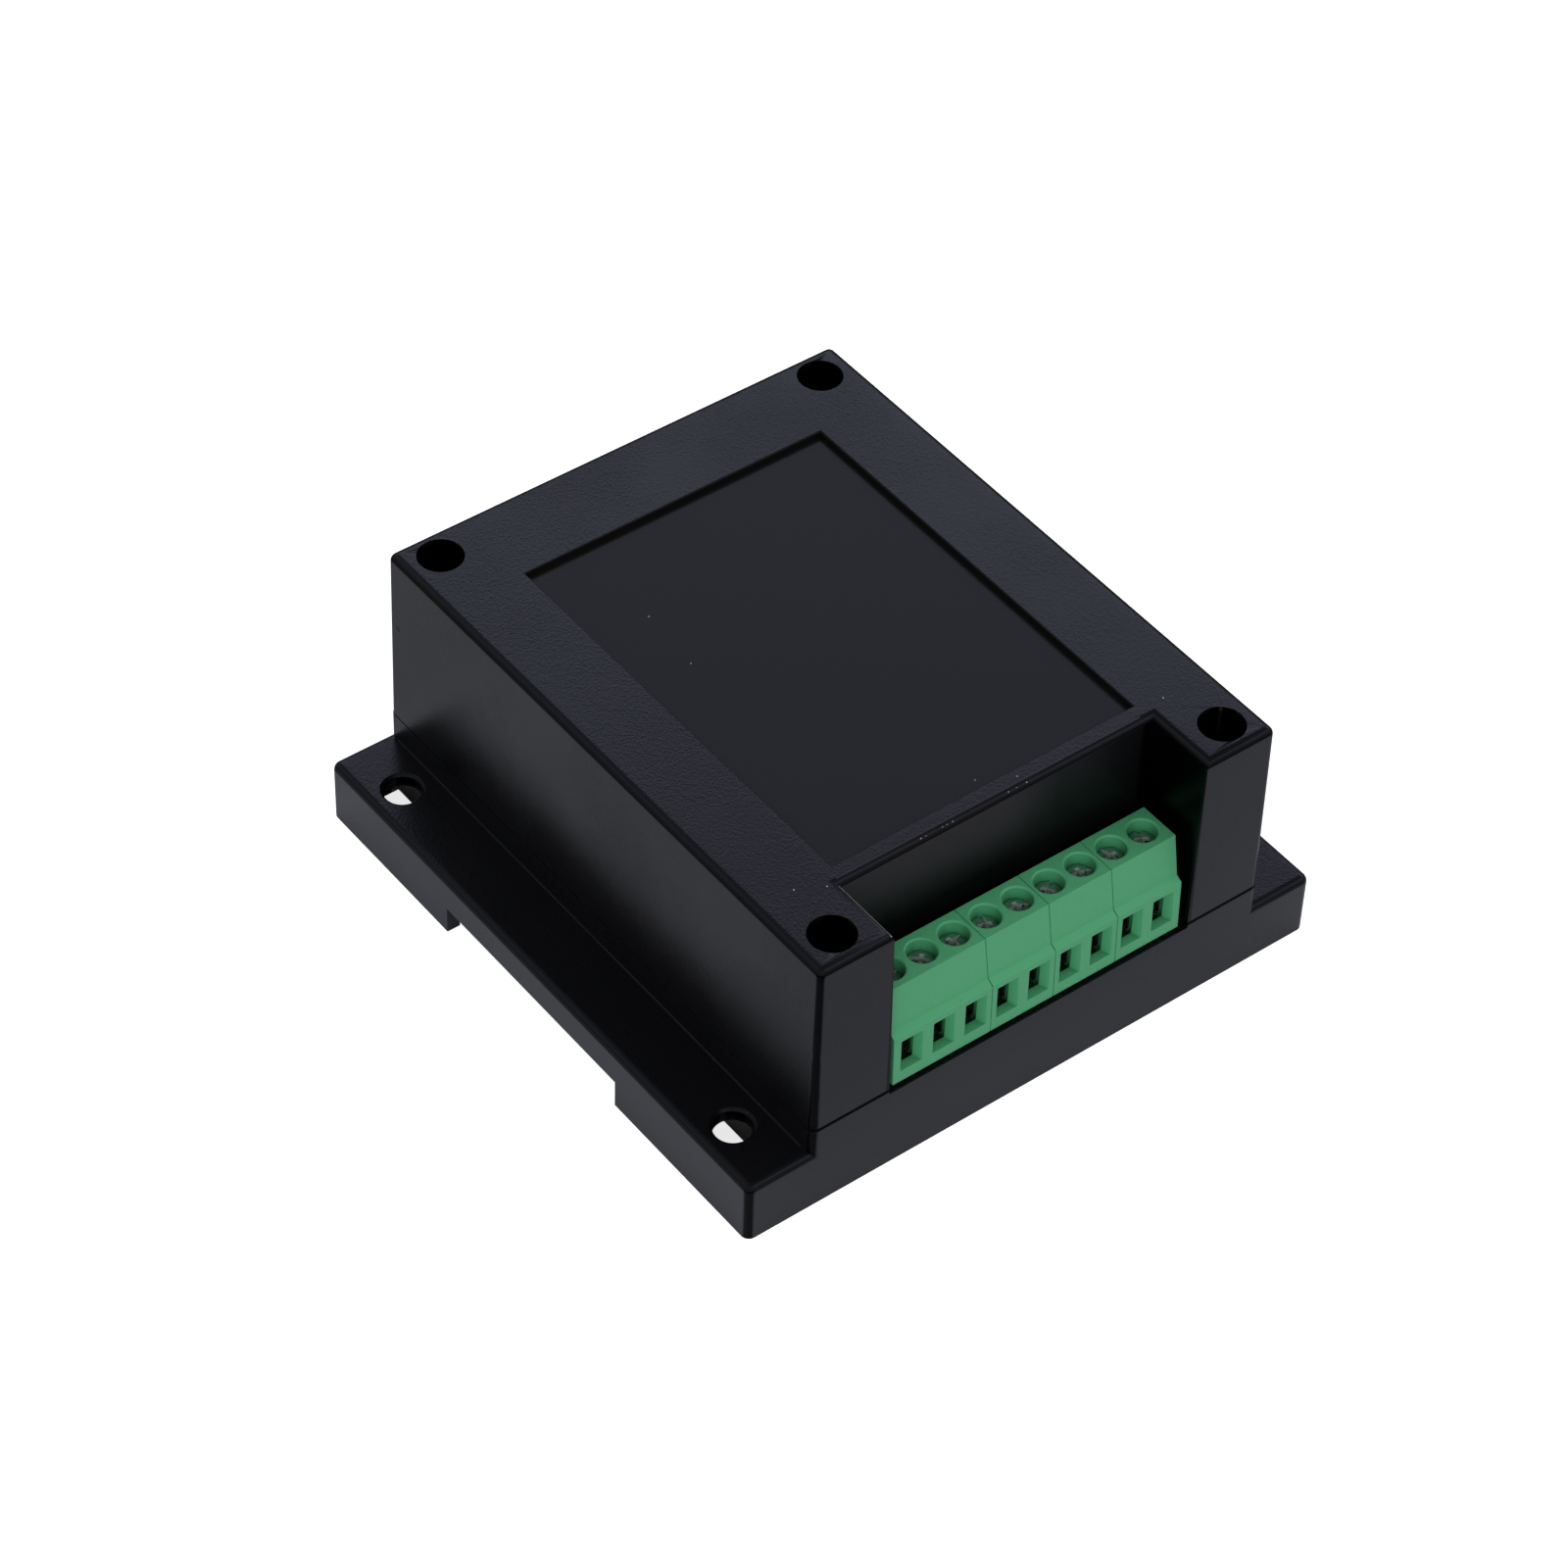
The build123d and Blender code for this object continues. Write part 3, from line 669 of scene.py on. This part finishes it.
@dataclass
class Screw:
    """A screw with a recessed head and a real thread, made by turning and cutting."""

    head_radius: float
    head_height: float
    shank_radius: float
    pitch: float
    thread_depth: float
    drive: Drive
    dome: float = 0.2 * MM
    rim: float = 0.22 * MM
    slot_width: float = 0.6 * MM
    slot_depth: float = 0.65 * MM
    cross_reach: float = 1.15 * MM
    cross_depth: float = 1.0 * MM
    around: int = 40
    rim_steps: int = 3
    foot: float = 0.3
    cross_taper: float = 0.75
    slot_reach: float = 1.2
    thread_around: int = 22
    rings_per_turn: int = 7
    crest_slope: float = 3.2
    point_size: float = 0.72
    point_growth: float = 0.28
    point_start: float = 0.35
    thread_start: float = 0.3
    smooth_below: float = 35.0

    def _head(self, seat: float) -> bmesh.types.BMesh:
        """Turns the head's outline about the screw's axis.

        Args:
            seat: Height of the head's underside.

        Returns:
            The head as a closed mesh about the origin.
        """
        top = seat + self.head_height
        steps = self.rim_steps
        outline = [(self.head_radius - self.foot * self.rim, seat),
                   (self.head_radius, seat + self.foot * self.rim),
                   (self.head_radius, top - self.dome - self.rim)]
        for step in range(1, steps + 1):
            turn = math.radians(90 * step / steps)
            outline.append((self.head_radius - self.rim * (1 - math.cos(turn)),
                            top - self.dome - self.rim * (1 - math.sin(turn))))
        for step in range(1, steps + 1):
            share = step / steps
            radius = (self.head_radius - self.rim) * (1 - share)
            outline.append((radius, top - self.dome * (1 - share) ** 2))
        mesh = bmesh.new()
        low = mesh.verts.new((0, 0, seat))
        rings = [[mesh.verts.new((r * math.cos(a), r * math.sin(a), z))
                  for a in (2 * math.pi * i / self.around for i in range(self.around))]
                 for r, z in outline[:-1]]
        high = mesh.verts.new((0, 0, top))
        count = self.around
        for i in range(count):
            j = (i + 1) % count
            mesh.faces.new((low, rings[0][j], rings[0][i]))
            mesh.faces.new((high, rings[-1][i], rings[-1][j]))
            for below, above in zip(rings, rings[1:]):
                mesh.faces.new((below[i], below[j], above[j], above[i]))
        return mesh

    def _cutter(self, top: float, turn: float) -> Object:
        """Makes the shape that cuts the drive into the head.

        Args:
            top: Height of the head's top.
            turn: Angle of the slot, in radians.

        Returns:
            A cutter object that is not part of the scene's pieces.
        """
        mesh = bmesh.new()
        bars = [(self.cross_reach, self.cross_depth, degrees) for degrees in (0.0, 90.0)]
        if self.drive is Drive.SLOT_AND_CROSS:
            bars.append((self.head_radius * self.slot_reach, self.slot_depth, 0.0))
        for reach, depth, degrees in bars:
            spin = Matrix.Rotation(turn + math.radians(degrees), 4, "Z")
            half = self.slot_width / 2
            narrow = self.cross_taper if reach < self.head_radius else 1.0
            corners = [(sx * reach * scale, sy * half, z)
                       for z, scale in ((top + self.head_height, 1.0), (top - depth, narrow))
                       for sx, sy in ((-1, -1), (1, -1), (1, 1), (-1, 1))]
            verts = [mesh.verts.new(spin @ Vector(c)) for c in corners]
            for face in ((3, 2, 1, 0), (4, 5, 6, 7)):
                mesh.faces.new([verts[i] for i in face])
            for i in range(4):
                j = (i + 1) % 4
                mesh.faces.new((verts[i], verts[j], verts[4 + j], verts[4 + i]))
        bmesh.ops.recalc_face_normals(mesh, faces=mesh.faces)
        return as_object("drive_cutter", mesh)

    def _thread(self, mesh: bmesh.types.BMesh, top: float, tip: float) -> None:
        """Adds the threaded shank as a closed skin whose radius follows a helix.

        Args:
            mesh: The mesh that the shank joins.
            top: Height where the shank starts, inside the head.
            tip: Height of the shank's end.
        """
        count = self.thread_around
        rings = max(4, round((top - tip) / self.pitch * self.rings_per_turn))
        grid = []
        for r in range(rings + 1):
            z = top + (tip - top) * r / rings
            grown = min(1.0, (z - tip) / self.pitch + self.point_start)
            ring = []
            for i in range(count):
                turn = i / count
                phase = ((z / self.pitch) - turn) % 1.0
                crest = max(0.0, 1.0 - abs(phase - 0.5) * self.crest_slope)
                root = self.shank_radius - self.thread_depth
                radius = root + self.thread_depth * crest
                radius *= self.point_size + self.point_growth * grown
                angle = 2 * math.pi * turn
                ring.append(mesh.verts.new((radius * math.cos(angle),
                                            radius * math.sin(angle), z)))
            grid.append(ring)
        mesh.faces.new(grid[0])
        mesh.faces.new(list(reversed(grid[-1])))
        for above, below in zip(grid, grid[1:]):
            for i in range(count):
                j = (i + 1) % count
                mesh.faces.new((above[i], below[i], below[j], above[j]))

    def make(self, name: str, axis: Span, seat: float, tip: float,
             degrees: float) -> Object:
        """Makes one screw in its place.

        Args:
            name: The piece's name.
            axis: The screw's x and y.
            seat: Height that its head stands on.
            tip: Height of its end.
            degrees: Angle of its slot from the x axis.

        Returns:
            The screw as one object.
        """
        piece = as_object(name, self._head(seat))
        cutter = self._cutter(seat + self.head_height, math.radians(degrees))
        cut = piece.modifiers.new("drive", "BOOLEAN")
        cut.operation = "DIFFERENCE"
        cut.object = cutter
        cut.solver = "EXACT"
        cut.use_self = True
        bpy.context.view_layer.update()
        view = bpy.context.evaluated_depsgraph_get()
        carved = bpy.data.meshes.new_from_object(piece.evaluated_get(view))
        piece.modifiers.clear()
        bpy.data.objects.remove(cutter)
        whole = bmesh.new()
        whole.from_mesh(carved)
        self._thread(whole, seat + self.thread_start * self.head_height, tip)
        for face in whole.faces:
            face.smooth = True
        for edge in whole.edges:
            edge.smooth = edge.calc_face_angle(0.0) < math.radians(self.smooth_below)
        bmesh.ops.translate(whole, verts=whole.verts, vec=(axis[0], axis[1], 0))
        whole.to_mesh(piece.data)
        whole.free()
        bpy.data.meshes.remove(carved)
        return piece


def middle(node: str) -> Span:
    """Gives the x and y of the middle of a node's box."""
    low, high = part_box(node)
    return (low.x + high.x) / 2, (low.y + high.y) / 2


@dataclass
class Enclosure:
    """Base, cover and rail clip."""

    plastic: MouldedPlastic = MouldedPlastic("base_plastic", (0.0026, 0.0027, 0.0033), 0.28)
    clip_plastic: MouldedPlastic = MouldedPlastic("clip_plastic", (0.004, 0.004, 0.0045), 0.3,
                                                  grain_depth=0.01 * MM, dust_share=0.0)
    edge: float = 0.14 * MM
    clip_edge: float = 0.12 * MM
    margin: float = 1.0 * MM
    rim_drop: float = 0.9 * MM
    front_inset: float = 0.5 * MM
    label_look: Look = Look((0.0052, 0.0048, 0.0042), 0.36, reflection_cut=0.26, grain=0.3)
    label_half_width: float = 24.2 * MM
    label_half_length: float = 32.45 * MM
    label_depth: float = 1.5 * MM
    label_rim: float = 0.3 * MM
    # Painted shade: the terminal recess is darker, with its reflection cut.
    recess_shade_look: Look = Look((0.003, 0.003, 0.0034), 0.5, reflection_cut=0.45, grain=0.6)
    recess_half_width: float = 24.8 * MM
    recess_depth: float = 10.9 * MM
    # Painted shade: the right side wall of the recess is darker, with a cut reflection.
    side_shade_look: Look = Look((0.0018, 0.0018, 0.002), 0.3, reflection_cut=0.85, grain=0.6)
    side_wall_x: float = 23.3 * MM
    side_inset: float = 0.6 * MM
    # Painted light: the back wall of the recess grows lighter towards its top.
    wall_light_look: Look = Look((0.03, 0.025, 0.031), 0.5, grain=0.6)
    wall_light_from: float = 29.0 * MM
    wall_light_over: float = 9.0 * MM
    shade_look: Look = Look((0.005, 0.005, 0.006), 0.45, reflection_cut=0.5, grain=0.6)
    shade_x: Span = (0.0, 35.5 * MM)
    shade_over: float = 11.0 * MM
    # Painted shade: the corner screw wells are darker, with a cut reflection.
    well_shade_look: Look = Look((0.0012, 0.0012, 0.0014), 0.5, reflection_cut=0.75, grain=0.3)
    well_place: Span = (30.85 * MM, 41.2 * MM)
    well_reach: float = 3.3 * MM
    well_rim: float = 0.7 * MM
    # Painted highlight: a bright line along the upper left edge of the recess.
    glint_look: Look = Look((0.3, 0.3, 0.31), 0.3, over_edges=True)
    glint_x: Span = (-25.18 * MM, -24.92 * MM)
    glint_drop: float = 1.1 * MM
    seam_look: Look = Look((0.0008, 0.0008, 0.001), 0.5, reflection_cut=0.95, over_edges=True)
    seam_z: Span = (13.45 * MM, 14.15 * MM)
    seam_over: float = 0.12 * MM
    # Painted highlight: a bright line along the crease at the foot of the left wall.
    crease_highlight_look: Look = Look((0.014, 0.014, 0.016), 0.4, over_edges=True)
    crease_x: Span = (-36.54 * MM, -36.36 * MM)
    crease_half_length: float = 44.0 * MM
    crease_z: Span = (9.4 * MM, 9.8 * MM)
    # Painted light on the walls of the base under the left holes of the flange.
    lit_look: Look = Look((0.26, 0.27, 0.275), 0.5, grain=0.3)
    lit_x: Span = (-37.5 * MM, -34.5 * MM)
    lit_z: Span = (-1.0 * MM, 5.8 * MM)
    lit_from: float = 0.5 * MM
    lit_to: float = 10.5 * MM
    lit_over: float = 2.0 * MM
    hole_y: Span = (-36.25 * MM, 36.25 * MM)
    specks_mm: tuple[Point, ...] = (
        (-15.25, 17.16, 0.14), (-16.06, 7.05, 0.12), (27.94, -33.27, 0.13), (-30.14, -32.73, 0.13),
        (-26.52, -34.61, 0.12), (0.07, -30.21, 0.11), (4.13, -33.39, 0.11))
    fleck_color: Color = (0.2, 0.2, 0.21)
    fleck_line: Span = (-34.69 * MM, 41.73 * MM)
    flecks_mm: tuple[Span, ...] = ((-12.1, 0.12), (-11.3, 0.08), (-8.7, 0.1), (-8.0, 0.09),
                                   (-7.1, 0.12), (1.7, 0.1), (3.0, 0.08), (4.6, 0.13))
    # A small dark spot on the left wall, with its reflection cut.
    dark_spot: Spot = Spot((-36.3 * MM, 43.6 * MM, 30.1 * MM), 0.6 * MM, (0.002, 0.002, 0.002), 0.75)

    def _cover_patches(self) -> tuple[Patch, ...]:
        """Gives the places of the cover that look different from its outside.

        Returns:
            The label field, the painted shade of the recess, the painted light and the painted
            shade on its back wall, the painted shade on its right side and in the corner wells, the
            painted highlight at the recess's left edge and the seam.
        """
        low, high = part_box("cover")
        back, under = low.y + self.recess_depth, high.z - self.rim_drop
        label = Patch((-self.label_half_width, -self.label_half_length, high.z - self.label_depth),
                      (self.label_half_width, self.label_half_length, high.z - self.label_rim),
                      self.label_look)
        # Painted shade in the terminal recess.
        recess_shade = Patch((-self.recess_half_width, low.y, low.z),
                       (self.recess_half_width, back, under), self.recess_shade_look)
        # Painted light on the upper back wall of the recess, fading in downwards.
        glow = Patch((-self.recess_half_width, back - self.margin, self.wall_light_from),
                     (self.side_wall_x, back + self.margin, high.z + 2 * self.wall_light_over),
                     self.wall_light_look, (0.0, 0.0, self.wall_light_over))
        shade = Patch((self.shade_x[0], back - self.margin, low.z),
                      (self.shade_x[1], back + self.margin, under),
                      self.shade_look, (self.shade_over, 0.0, 0.0))
        # Painted shade on the right side wall of the recess.
        painted_side = Patch((self.side_wall_x, low.y + self.side_inset, low.z), recess_shade.high,
                     self.side_shade_look)
        reach, (across, along) = self.well_reach, self.well_place
        # Painted shade in the four corner screw wells.
        well_shades = [Patch((x - reach, y - reach, low.z),
                       (x + reach, y + reach, high.z - self.well_rim), self.well_shade_look)
                 for x in (-across, across) for y in (-along, along)]
        # Painted highlight along the upper left edge of the recess.
        glint = Patch((self.glint_x[0], low.y + self.front_inset, high.z - self.glint_drop),
                     (self.glint_x[1], back, high.z + self.margin), self.glint_look)
        return label, recess_shade, glow, shade, painted_side, *well_shades, glint, self._seam()

    def _seam(self) -> Patch:
        """Gives the dark line where the cover meets the base at the front."""
        low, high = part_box("cover")
        return Patch((low.x - self.margin, low.y - self.margin, self.seam_z[0]),
                     (high.x + self.margin, low.y + self.front_inset, self.seam_z[1]),
                     self.seam_look, (0.0, 0.0, self.seam_over))

    def _base_patches(self) -> tuple[Patch, ...]:
        """Gives the places of the base that look different.

        Returns:
            The seam, the painted highlight along the crease beside the left wall and the painted
            light on the walls under the left holes.
        """
        # Painted highlight along the crease beside the left wall.
        crease = Patch((self.crease_x[0], -self.crease_half_length, self.crease_z[0]),
                       (self.crease_x[1], self.crease_half_length, self.crease_z[1]),
                       self.crease_highlight_look)
        # Painted light on the base walls under the left holes.
        lit = [Patch((self.lit_x[0], y + self.lit_from, self.lit_z[0]),
                     (self.lit_x[1], y + self.lit_to, self.lit_z[1]),
                     self.lit_look, (0.0, self.lit_over, 0.0)) for y in self.hole_y]
        return self._seam(), crease, *lit

    def _spots(self) -> tuple[Spot, ...]:
        """Gives the marks of the cover.

        Returns:
            The specks on the top, the flecks on its left edge and a small dark spot with a cut
            reflection on its left wall.
        """
        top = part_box("cover")[1].z
        marks = []
        for speck in self.specks_mm:
            x, y, radius = (value * MM for value in speck)
            in_label = abs(x) < self.label_half_width and abs(y) < self.label_half_length
            marks.append(Spot((x, y, top - self.rim_drop if in_label else top), radius))
        marks += [Spot((x * MM, *self.fleck_line), radius * MM, self.fleck_color)
                  for x, radius in self.flecks_mm]
        return *marks, self.dark_spot

    def dress(self, effects: Effects) -> None:
        """Finishes the moulded parts of the box.

        Args:
            effects: The shared node groups.
        """
        cover = replace(self.plastic, name="cover_plastic", patches=self._cover_patches(),
                        spots=self._spots())
        base = replace(self.plastic, patches=self._base_patches())
        for node, finish, edge in (("base", base, self.edge), ("cover", cover, self.edge),
                                   ("rail_clip", self.clip_plastic, self.clip_edge)):
            put_on(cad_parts[node], finish.make(effects))
            soften(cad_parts[node], edge)
            log.info("dressed %s", node)


@dataclass
class TerminalRow:
    """Green housings with their clamp screws, wire cages and contacts."""

    poles: int = 9
    blocks: int = 4
    edge: float = 0.06 * MM
    # The housing's edge colour is a lighter green: a painted highlight on its rounded edges.
    housing: MouldedPlastic = MouldedPlastic(
        "terminal_plastic", (0.063, 0.305, 0.142), 0.42, grain_cells=2600.0,
        grain_depth=0.012 * MM, grain_tone=0.03, specular=0.45, painted_edge_color=(0.07, 0.34, 0.16),
        edge_roughness=0.38, edge_shade=0.0, dust_share=0.05)
    # The zinc screws carry a painted highlight on the sides of their heads.
    zinc: Metal = Metal("zinc_plate", (0.42, 0.47, 0.44), 0.26, mark_depth=0.0012 * MM,
                        tarnish=(0.33, 0.36, 0.35), side_highlight_color=(0.62, 0.66, 0.65))
    nickel: Metal = Metal("nickel_plate", (0.3, 0.29, 0.27), 0.36)
    tin: Metal = Metal("tin_plate", (0.66, 0.66, 0.64), 0.36)
    head_angles: tuple[float, ...] = (10, -47, 15, 70, -14, 35, -14, 100, 60)
    screw: Screw = field(default_factory=lambda: Screw(
        head_radius=1.85 * MM, head_height=1.5 * MM, shank_radius=1.25 * MM, pitch=0.45 * MM,
        thread_depth=0.24 * MM, drive=Drive.SLOT_AND_CROSS))

    def build(self) -> list[Object]:
        """Puts a threaded screw in the place of each plain clamp screw.

        Returns:
            The nine screws.
        """
        made = []
        for number, degrees in zip(range(1, self.poles + 1), self.head_angles):
            node = f"clamp_screw_{number}"
            low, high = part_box(node)
            piece = self.screw.make(f"threaded_{node}", middle(node),
                                    high.z - self.screw.head_height, low.z, degrees)
            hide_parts(node)
            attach(piece, node)
            made.append(piece)
            log.info("built %s", piece.name)
        return made

    def dress(self, effects: Effects, screws: list[Object]) -> None:
        """Finishes the row.

        Args:
            effects: The shared node groups.
            screws: The clamp screws.
        """
        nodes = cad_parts
        finishes = (("terminal_block", self.blocks, self.housing),
                    ("wire_cage", self.poles, self.nickel), ("contact", self.poles, self.tin))
        for kind, count, finish in finishes:
            material = finish.make(effects)
            for number in range(1, count + 1):
                put_on(nodes[f"{kind}_{number}"], material)
                soften(nodes[f"{kind}_{number}"], self.edge)
        zinc = self.zinc.make(effects)
        for piece in screws:
            put_on(piece, zinc)
        log.info("dressed the terminal row")


@dataclass
class BoardSet:
    """Circuit board with the screws that hold it and the screws that hold the cover."""

    corners: int = 4
    board_screw: Screw = field(default_factory=lambda: Screw(
        head_radius=2.2 * MM, head_height=1.6 * MM, shank_radius=1.25 * MM, pitch=1.0 * MM,
        thread_depth=0.3 * MM, drive=Drive.CROSS, dome=0.35 * MM, rim=0.5 * MM))
    cover_screw: Screw = field(default_factory=lambda: Screw(
        head_radius=2.8 * MM, head_height=2.0 * MM, shank_radius=1.5 * MM, pitch=1.2 * MM,
        thread_depth=0.35 * MM, drive=Drive.CROSS, dome=0.4 * MM, rim=0.6 * MM,
        cross_reach=1.5 * MM, cross_depth=1.3 * MM, slot_width=0.7 * MM))
    cross_angles: tuple[float, ...] = (15, 62, 37, 80)
    mask: Laminate = Laminate("board_mask", (0.012, 0.09, 0.035), 0.32)
    steel: Metal = Metal("blackened_steel", (0.16, 0.16, 0.17), 0.4)

    def build(self) -> list[Object]:
        """Puts threaded screws in the place of the plain ones.

        Returns:
            The eight screws.
        """
        made = []
        for kind, form in (("board_screw", self.board_screw), ("cover_screw", self.cover_screw)):
            for number, degrees in zip(range(1, self.corners + 1), self.cross_angles):
                node = f"{kind}_{number}"
                low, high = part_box(node)
                piece = form.make(f"threaded_{node}", middle(node),
                                  high.z - form.head_height, low.z, degrees)
                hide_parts(node)
                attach(piece, "box")
                made.append(piece)
                log.info("built %s", piece.name)
        return made

    def dress(self, effects: Effects, screws: list[Object]) -> None:
        """Finishes the board and its screws.

        Args:
            effects: The shared node groups.
            screws: The board screws and the cover screws.
        """
        put_on(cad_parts["circuit_board"], self.mask.make(effects))
        steel = self.steel.make(effects)
        for piece in screws:
            put_on(piece, steel)
        log.info("dressed the board")


@dataclass
class Studio:
    """White floor, even light and the camera of the photograph."""

    floor_half: float = 4.0
    floor_gap: float = 0.02 * MM
    floor_tone: float = 0.82
    floor_glow: float = 0.78
    gloss_tones: Color = (0.67, 0.425, 0.045)
    gloss_reach: tuple[float, float, float, float] = (0.046, 0.064, 0.085, 0.17)
    gloss_stretch: Span = (0.95, 1.03)
    gloss_tint: Color = (0.97, 1.0, 1.13)
    sky: float = 0.62
    gloss_horizon: Color = (0.12, 0.125, 0.15)
    gloss_band: Color = (1.42, 1.5, 1.95)
    gloss_sky: Color = (0.05, 0.055, 0.08)
    band_rise: Span = (0.5, 0.58)
    band_fall: Span = (0.6, 0.745)
    front_share: float = 0.5
    front_fade: Span = (-0.5, 0.3)
    left_share: float = 0.2
    left_fade: Span = (-0.25, 0.2)
    focal_px: float = 5110.4
    frame_px: float = 1600.0
    sensor: float = 36.0
    eye: Point = (-295.1 * MM, -357.22 * MM, 477.29 * MM)
    aim: Point = (-6.248 * MM, -0.508 * MM, 20.0 * MM)
    roll: float = 2.3678
    clip: Span = (0.01, 20.0)
    lamp_aim: Point = (0.0, 0.0, 20.0 * MM)
    lamps: tuple[tuple[str, Point, float, float], ...] = (
        ("left_front_lamp", (-0.9, -1.1, 0.75), 0.9, 9.0),
        ("right_front_lamp", (1.2, -0.7, 0.9), 0.8, 3.5),
        ("overhead_lamp", (0.1, 0.5, 1.6), 1.1, 2.0))

    @staticmethod
    def _rays(graph: Graph) -> tuple[Socket, Socket]:
        """Tells the rays of gloss, and the rays that see a thing itself, also through glass."""
        rays = graph.add("LightPath").outputs
        return (rays["Is Glossy Ray"],
                graph.math("MAXIMUM", rays["Is Camera Ray"], rays["Is Transmission Ray"]))

    def _floor(self) -> None:
        """Lays a floor that looks white from above, keeps the shadow and is clear from below."""
        mesh = bmesh.new()
        bmesh.ops.create_grid(mesh, x_segments=1, y_segments=1, size=self.floor_half)
        floor = as_object("floor", mesh)
        floor.location.z = -self.floor_gap
        material = bpy.data.materials.new("floor_white")
        material.use_nodes = True
        graph = Graph(material.node_tree)
        glossy, seen = self._rays(graph)
        x, y, _ = graph.split(graph.add("TexCoord").outputs["Object"])
        across, along = (graph.math("MULTIPLY", graph.math("ABSOLUTE", way), stretch)
                         for way, stretch in zip((x, y), self.gloss_stretch))
        reach = graph.math("MAXIMUM", across, along)
        close, middling, distant = self.gloss_tones
        tone = graph.mix(graph.ramp(reach, *self.gloss_reach[:2]), close, middling)
        tone = graph.mix(graph.ramp(reach, *self.gloss_reach[2:]), tone, distant)
        mirrored = graph.blend(tone, rgba((0.0,) * 3), rgba(self.gloss_tint))
        paper = graph.add("BsdfDiffuse", Color=graph.blend(
            glossy, rgba((self.floor_tone,) * 3), mirrored))
        glow = graph.add("Emission", Strength=graph.math("MULTIPLY", seen, self.floor_glow))
        both = graph.add("AddShader")
        graph.link(paper.outputs[0], both.inputs[0])
        graph.link(glow.outputs[0], both.inputs[1])
        from_below = graph.add("MixShader", Fac=graph.add("NewGeometry").outputs["Backfacing"])
        graph.link(both.outputs[0], from_below.inputs[1])
        graph.link(graph.add("BsdfTransparent").outputs[0], from_below.inputs[2])
        graph.add("OutputMaterial", Surface=from_below.outputs[0])
        put_on(floor, material)

    def _world(self) -> None:
        """Fills the room with even light, and for gloss with a cool band above a dark rim."""
        world = bpy.data.worlds.new("studio")
        bpy.context.scene.world = world
        world.use_nodes = True
        graph = Graph(world.node_tree)
        glossy, seen = self._rays(graph)
        even = graph.blend(seen, rgba((self.sky,) * 3), rgba((1.0,) * 3))
        x, y, z = graph.split(graph.add("TexCoord").outputs["Generated"])
        band = graph.blend(graph.ramp(z, *self.band_fall), rgba(self.gloss_band),
                           rgba(self.gloss_sky))
        share = graph.math("MULTIPLY", graph.ramp(y, *self.front_fade, self.front_share, 1.0),
                           graph.ramp(x, *self.left_fade, self.left_share, 1.0))
        gloss = graph.blend(graph.math("MULTIPLY", graph.ramp(z, *self.band_rise), share),
                            rgba(self.gloss_horizon), band)
        back = graph.add("Background", Color=graph.blend(glossy, even, gloss), Strength=1.0)
        graph.add("OutputWorld", Surface=back.outputs[0])

    def _lights(self) -> None:
        """Hangs large soft lamps that look at the box."""
        target = Vector(self.lamp_aim)
        for name, place, size, power in self.lamps:
            light = bpy.data.lights.new(name, "AREA")
            light.shape = "DISK"
            light.size = size
            light.energy = power
            lamp = bpy.data.objects.new(name, light)
            lamp.location = place
            lamp.visible_glossy = False
            lamp.rotation_euler = (target - Vector(place)).to_track_quat("-Z", "Y").to_euler()
            bpy.context.scene.collection.objects.link(lamp)

    def _camera(self) -> None:
        """Stands the camera where the photograph was taken from."""
        data = bpy.data.cameras.new("camera")
        data.sensor_width = self.sensor
        data.lens = self.sensor * self.focal_px / self.frame_px
        data.clip_start, data.clip_end = self.clip
        camera = bpy.data.objects.new("camera", data)
        eye, aim = Vector(self.eye), Vector(self.aim)
        look = (aim - eye).to_track_quat("-Z", "Y").to_matrix().to_4x4()
        turn = Matrix.Rotation(math.radians(self.roll), 4, "Z")
        camera.matrix_world = Matrix.Translation(eye) @ look @ turn
        bpy.context.scene.collection.objects.link(camera)
        bpy.context.scene.camera = camera

    def build(self) -> None:
        """Builds the floor, the world, the lamps and the camera."""
        bpy.context.scene.view_settings.view_transform = "Standard"
        self._floor()
        self._world()
        self._lights()
        self._camera()
        log.info("built the studio")


def main() -> None:
    """Builds the looks of the box in order and reports each piece."""
    logging.basicConfig(level=logging.INFO, format="%(name)s: %(message)s")
    Studio().build()
    effects = Effects()
    Enclosure().dress(effects)
    row = TerminalRow()
    row.dress(effects, row.build())
    board = BoardSet()
    board.dress(effects, board.build())


if __name__ == "__main__":
    main()
